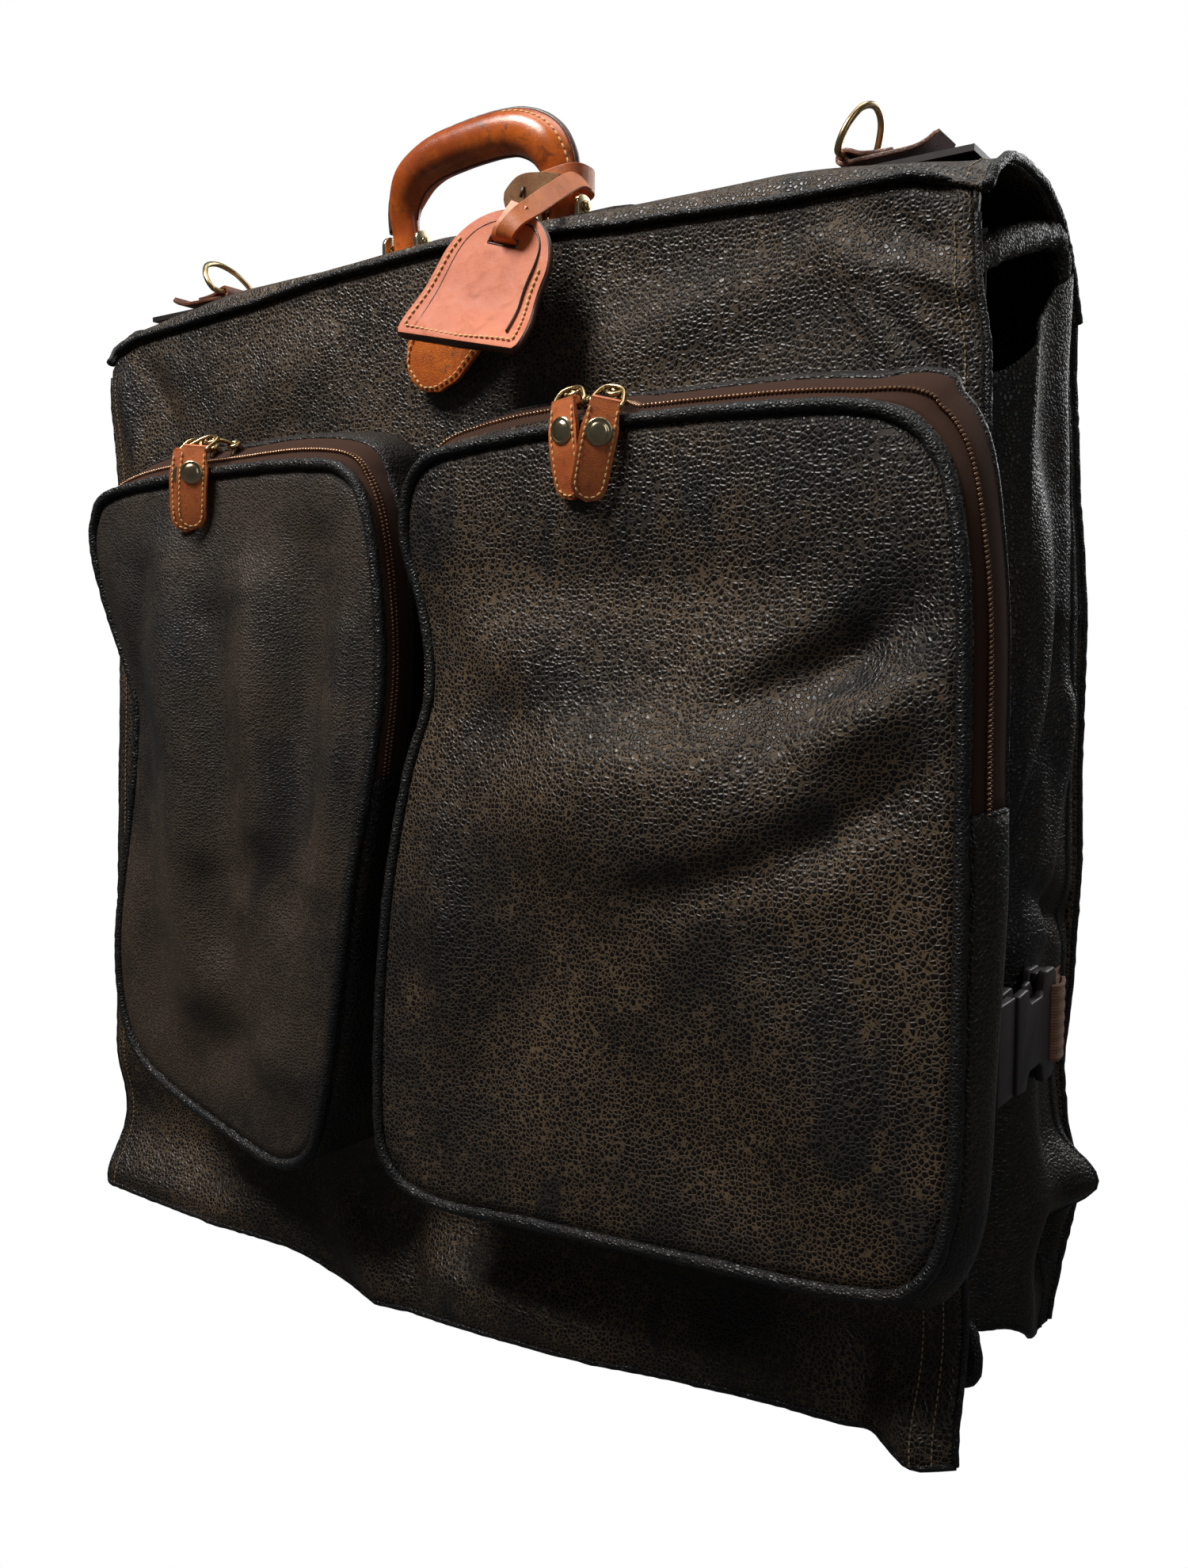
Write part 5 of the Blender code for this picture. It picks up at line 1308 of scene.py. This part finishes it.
def make_tag():
    leaf("tag_front_leather", 0.0006, 0.0024, M["tag"], "tag_front")
    leaf("tag_back_leather", -0.0024, -0.0006, M["edge"], "tag_back")

    rim, threads, line, slit, card = Shape(), Shape(), Shape(), Shape(), Shape()
    sides = [(tag_half_width(v), v) for v in spread(-0.0172, 0.0598, 60)]
    edge = [tag_curl(w, v, 0.0) for w, v in sides] + [tag_curl(-w, v, 0.0) for w, v in sides[::-1]]
    rim.tube(edge, 0.0012, 8, True, deep=0.0020, up=(0, 1, 0))
    foot = [tag_curl(u, 0.0598, -0.0014) for u in spread(-0.0350, 0.0345, 24)]
    rim.tube(foot, 0.0016, 8, deep=0.0030, up=(0, 1, 0))
    for s, start in ((-1, 0.002), (1, 0.010)):
        rows = [tag_curl(s * (tag_half_width(v) - 0.0038), v, 0.0030) for v in spread(start, 0.0562, 24)]
        threads.stitches(rows, *TAG_STITCH)
    threads.stitches([tag_curl(u, 0.0563, 0.0031) for u in spread(-0.0325, 0.0325, 24)], *TAG_STITCH)
    line.tube([tag_curl(p.x, p.z, 0.00245) for p in spline([(u, 0, v) for u, v in PRESSED_LINE], 8)],
              0.00055, 6,
              deep=0.0003)
    slit.tube([tag_curl(p.x, p.z, 0.0024) for p in spline([(u, 0, v) for u, v in SLIT], 8)],
              lambda t: 0.0006 + 0.0013 * smooth(0.2, 0.6, t), 6, deep=0.0006)
    slot = [slot_point(a, (0.0092, 0.0125), (0.0021, 0.005)) for a in angles(32)]
    slit.tube([tag_curl(u, v, 0.0024) for u, v in slot], 0.0005, 6, True)
    card.grid([[tag_curl(u, v, 0.0) for u in (-0.025, -0.012, 0, 0.012, 0.025)]
               for v in spread(0.012, 0.050, 8)])
    for shape in (rim, threads, line, slit, card):
        shape.moved(TAG_TURN)
    rim.piece("tag_edge_paint", "tag", M["edge"], "tag_leather")
    threads.piece("tag_stitches", "tag", M["cream"], "tag_leather")
    line.piece("tag_pressed_line", "tag", M["tag_line"], "tag_leather")
    slit.piece("tag_slit", "tag", M["edge"], "tag_leather")
    make_sleeve()
    card.piece("name_card_paper", "tag", M["card"], "card", ["name_card"], solid=0.0005, offset=0.0)


def make_sleeve():
    sleeve, threads = Shape(), Shape()
    rows, sides = [], ([], [])
    for k in range(49):
        v = mix(SLEEVE_TOP, SLEEVE_END, 1 - (1 - k / 48) ** 1.5)
        half = table(SLEEVE_HALF, v)
        bow = -0.0012 * math.sin(math.pi * v / 0.086)
        cuts = (-1, -0.93, -0.5, 0, 0.5, 0.93, 1)
        row = [vec(c * half, bow - 0.0016 * (1 - 0.5 * c * c), -v) for c in cuts]
        rows.append(row + [vec(c * half, bow + 0.0016, -v) for c in cuts[::-1]])
        if k >= 10 and half > 0.0034 and v < 0.0832:
            for line, s in zip(sides, (-1, 1)):
                line.append(vec(s * (half - 0.0028), bow - 0.0017, -v))
    sleeve.skin(rows)
    threads.stitches(sides[0] + sides[1][::-1], 0.0034, 0.0026, 0.00055)
    for shape in (sleeve, threads):
        shape.moved(SLEEVE_TURN)
    sleeve.piece("key_sleeve_leather", "tag", M["sleeve"], "handle_leather", ["key_sleeve"], bevel=0.0003)
    threads.piece("key_sleeve_stitches", "tag", M["cream"], "handle_leather")


STRAP_THICK = 0.0017
STRAP_PATH = mm([(64, 33, 43), (64.5, 21.5, 41.2), (65, 1, 29), (66, -17.5, 17.2), (62.5, -27.5, 9),
                 (56.6, -28.8, 2.2)])
# From the tag's slot, in the tag's own directions
STRAP_THROUGH = mm((3.6, 0, 0))
STRAP_TAIL = mm([(3.4, -6.2, 19), (2.2, -6.6, 11), (0.8, -6.2, 4.5), (0, -4, 0.6), (0, 1, -0.2), (0, 5, 0.2)])
# The strap's other end, which sticks up behind the tag
PADDLE_PATH = mm([(56, 20.5, 41.5), (47, 19, 42.5), (37, 18.2, 42), (28.5, 18.8, 38.5), (21.5, 20.5, 33.5)])
PADDLE_WIDTH = [(0, 0.55), (0.30, 0.72), (0.60, 1.0), (0.84, 0.92), (0.94, 0.66), (1.0, 0.28)]
PADDLE_SLOT = mm([(34.5, 17, 42.5), (33.5, 16.8, 39.5), (32.5, 17, 37)])


def flat_strap(shape, path, way, half, thick, taper=None):
    """A leather strap along the path: way is across it, taper gives its width from 0 to 1."""
    rows = []
    points = spline(path, 8)
    last = len(points) - 1
    for i, p in enumerate(points):
        along = (points[min(last, i + 1)] - points[max(0, i - 1)]).normalized()
        across = way(i / last) if callable(way) else Vector(way)
        across = (across - along * across.dot(along)).normalized()
        normal = along.cross(across).normalized()
        wide = half * (taper(i / last) if taper else 1)
        rows.append(leather_section(p, across, normal, wide, thick / 2, -thick / 2, 0.93, 0.4))
    shape.skin(rows)


def strap_across(t):
    """Across the strap: upright where it leaves the leg, level where it drops to the tag."""
    return vec(0.59, 0.39, -0.70).lerp(vec(0.95, 0.05, -0.30), smooth(0.45, 0.85, t))


def make_strap():
    """The strap: round the handle's right leg, down to the tag's slot and through it."""
    leg = vec(LEG_X + HANDLE_MOVE, HANDLE_Y, 0.0455)
    band, end, paddle, slot = Shape(), Shape(), Shape(), Shape()
    rows = []
    for a in angles(40):
        c, s = math.cos(a), math.sin(a)
        p = leg + vec(power(c, 0.7) * 0.0148, power(s, 0.7) * 0.0128, 0.0022 * c)
        out = vec(p.x - leg.x, p.y - leg.y, 0).normalized()
        cuts = (-1, -0.9, 0, 0.9, 1)
        row = [p + vec(0, 0, k * 0.0062) + out * 0.0009 for k in cuts]
        rows.append(row + [p + vec(0, 0, k * 0.0062) - out * 0.0009 for k in cuts[::-1]])
    band.grid(rows + rows[:1], True, flip=True)
    flat_strap(band, STRAP_PATH + [TAG_TURN @ Vector(STRAP_THROUGH)], strap_across, 0.0053, STRAP_THICK)
    piece = band.piece("tag_strap_leather", None, M["strap"], "tag_leather", ["tag_strap"], bevel=0.0003)
    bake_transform(piece)

    flat_strap(end, [TAG_TURN @ Vector(p) for p in STRAP_TAIL], (0.95, 0, -0.3), 0.0060, STRAP_THICK)
    end.piece("tag_strap_tail", "tag", M["strap"], "tag_leather", ["tag_strap_end"], bevel=0.0003)
    flat_strap(paddle, PADDLE_PATH, (0.35, 0.25, -0.90), 0.0078, 0.0016, lambda t: table(PADDLE_WIDTH, t))
    slot.tube([Vector(p) for p in PADDLE_SLOT], 0.0010, 8, deep=0.0006)
    slot.piece("tag_strap_slot", "handle", M["edge"], "tag_leather")
    paddle.piece("tag_strap_paddle", "handle", M["rough"], "tag_leather", bevel=0.0003)


# Buckles and webbing

BUCKLE_Z = -0.390
BUCKLE_IN = HALF + 0.004
BUCKLE_OUT = BUCKLE_IN + 0.012
# Upper halves of the outlines as (y, z from the middle)
SOCKET = mm([(31, 23.5), (44, 24.5), (46.5, 24), (48, 18.5), (51.5, 16.5), (68, 16.5), (71.5, 18.5),
             (73, 24.5),
             (75, 27.5), (88, 27.5), (91.5, 25.5), (92, 22.5)])
PRONGS = mm([(7, 23.5), (30, 23.5), (30.5, 20.5), (31.5, 20), (54, 20), (57, 23.5), (64, 24.2), (68, 20.5),
             (70, 15), (66, 13.5), (60, 16.5), (52, 16), (39, 15), (37, 5), (48, 4), (54, 1.5)])
# The webbing as (x outwards from the bag's side, y)
REAR_WEB = mm([(4, 146), (6.5, 125), (6.6, 102), (7.5, 90), (13, 84.5), (18.2, 86.5), (18.4, 96), (15, 108)])
FRONT_WEB = mm([(2, 1), (3.2, 8), (4.2, 15), (6, 19), (8.5, 20)])
RIB, WEB_HALF, WEB_THICK = 0.00022, 0.0190, 0.0016


def mirrored(half):
    return half + [(y, -z) for y, z in half[::-1]]


def square(y0, y1, z0, z1):
    return [(y0, z1), (y1, z1), (y1, z0), (y0, z0)]


def buckle_piece(name, body, node, sign, plates, bevel):
    """Plates of (outline, low, high), low and high being how far out from the bag's middle they reach."""
    shape = Shape()
    for outline, low, high in plates:
        shape.outline([(y, BUCKLE_Z + z) for y, z in outline], low, high, "YZX")
    if sign < 0:
        for v in shape.verts:
            v.x = -v.x
        shape.faces = [f[::-1] for f in shape.faces]
    shape.piece(name, body, M["plastic"], "buckle_plastic", [node], bevel=bevel)


def make_webbing(name, body, node, line, sign):
    shape = Shape()
    points = spline([(sign * (HALF + x), y, BUCKLE_Z) for x, y in line], 10)
    rows = []
    last = len(points) - 1
    for i, p in enumerate(points):
        along = (points[min(last, i + 1)] - points[max(0, i - 1)]).normalized()
        normal = along.cross(vec(0, 0, 1)).normalized()
        waves = [(z, WEB_THICK / 2 + RIB * math.cos(math.tau * k / 4))
                 for k, z in enumerate(spread(-WEB_HALF, WEB_HALF, 24))]
        row = [p + vec(0, 0, z) + normal * lift for z, lift in waves]
        rows.append(row + [p + vec(0, 0, z) - normal * lift for z, lift in waves[::-1]])
    shape.skin(rows, flip=True)
    return shape.piece(name, body, M["webbing"], "webbing", [node])


def make_buckle(side, sign):
    near, far = BUCKLE_IN + 0.0040, BUCKLE_OUT - 0.0043
    socket = [
        (mirrored(SOCKET), BUCKLE_IN + 0.0002, BUCKLE_IN + 0.0042),
        (mirrored(SOCKET), BUCKLE_OUT - 0.0045, BUCKLE_OUT),
        (square(0.0560, 0.0800, -0.0160, 0.0160), near, far),
        (square(0.0780, 0.0800, -0.0250, 0.0250), near, far),
        (square(0.0740, 0.0905, 0.0262, 0.0205), near, far),
        (square(0.0740, 0.0905, -0.0205, -0.0262)[::-1], near, far),
    ]
    buckle_piece(f"{side}_buckle_socket", f"{side}_female", f"{side}_buckle_female", sign, socket, 0.0009)
    prongs = [
        (mirrored(PRONGS), BUCKLE_IN + 0.0045, BUCKLE_OUT - 0.0048),
        (square(0.0070, 0.0304, -0.0235, 0.0235), BUCKLE_IN + 0.0015, BUCKLE_OUT - 0.0015),
    ]
    buckle_piece(f"{side}_buckle_prongs", "front_half", f"{side}_buckle_male", sign, prongs, 0.0008)
    web = make_webbing(f"{side}_rear_web", "rear_half", f"{side}_rear_webbing", REAR_WEB, sign)
    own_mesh(web)
    make_webbing(f"{side}_front_web", "front_half", f"{side}_front_webbing", FRONT_WEB, sign)


# Inside: zip, hanger bracket and clamp, and the CAD nodes that stay


def make_inside():
    low, high = (Vector(corner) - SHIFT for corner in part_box("main_zip"))
    x, y = (low.x + high.x) / 2, low.y
    pitch = 0.0036
    teeth, tape = Shape(), Shape()
    for i in range(int((high.z - low.z) / pitch)):
        z = high.z - 0.002 - i * pitch
        for k in (-1, 1):
            teeth.ball((x + k * 0.0020, y - 0.0006, z + 0.0009 * k), (0.0024, 0.0009, 0.0010), 4, 6)
    teeth.piece("main_zip_teeth", "rear_half", M["teeth"], "zip_tape")
    for k in (-1, 1):
        tape.grid([[vec(x + k * u, y + 0.0004, z) for u in spread(0.0020, 0.0115, 4)]
                   for z in spread(high.z, low.z, 60)], flip=k > 0)
    tape.piece("main_zip_tape", "rear_half", M["tape"], "zip_tape", ["main_zip"], solid=0.0009, offset=0.0)

    for node, key in (("top_board", "plastic"), ("handle_plate", "dark"), ("hanger_bracket", "steel"),
                      ("hanger_clamp", "steel"), ("main_zip_slider", "pale"), ("main_zip_pull", "handle")):
        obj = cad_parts[node]
        for slot in obj.material_slots:
            slot.material = M[key]
        if not obj.material_slots:
            obj.data.materials.append(M[key])
        soften(obj, 0.0007 if node == "handle_plate" else 0.0005)


def make_all():
    set_stage()
    make_front()
    make_front_gusset()
    make_top()
    make_rear()
    for side in ("left", "right"):
        make_pocket(side)
        for number, x in enumerate(SLIDERS[side], 1):
            make_slider(side, number, x)
    make_handle()
    make_handle_fittings()
    make_rings()
    make_tag()
    make_strap()
    for sign, side in SIDES:
        make_buckle(side, sign)
    make_inside()


make_all()
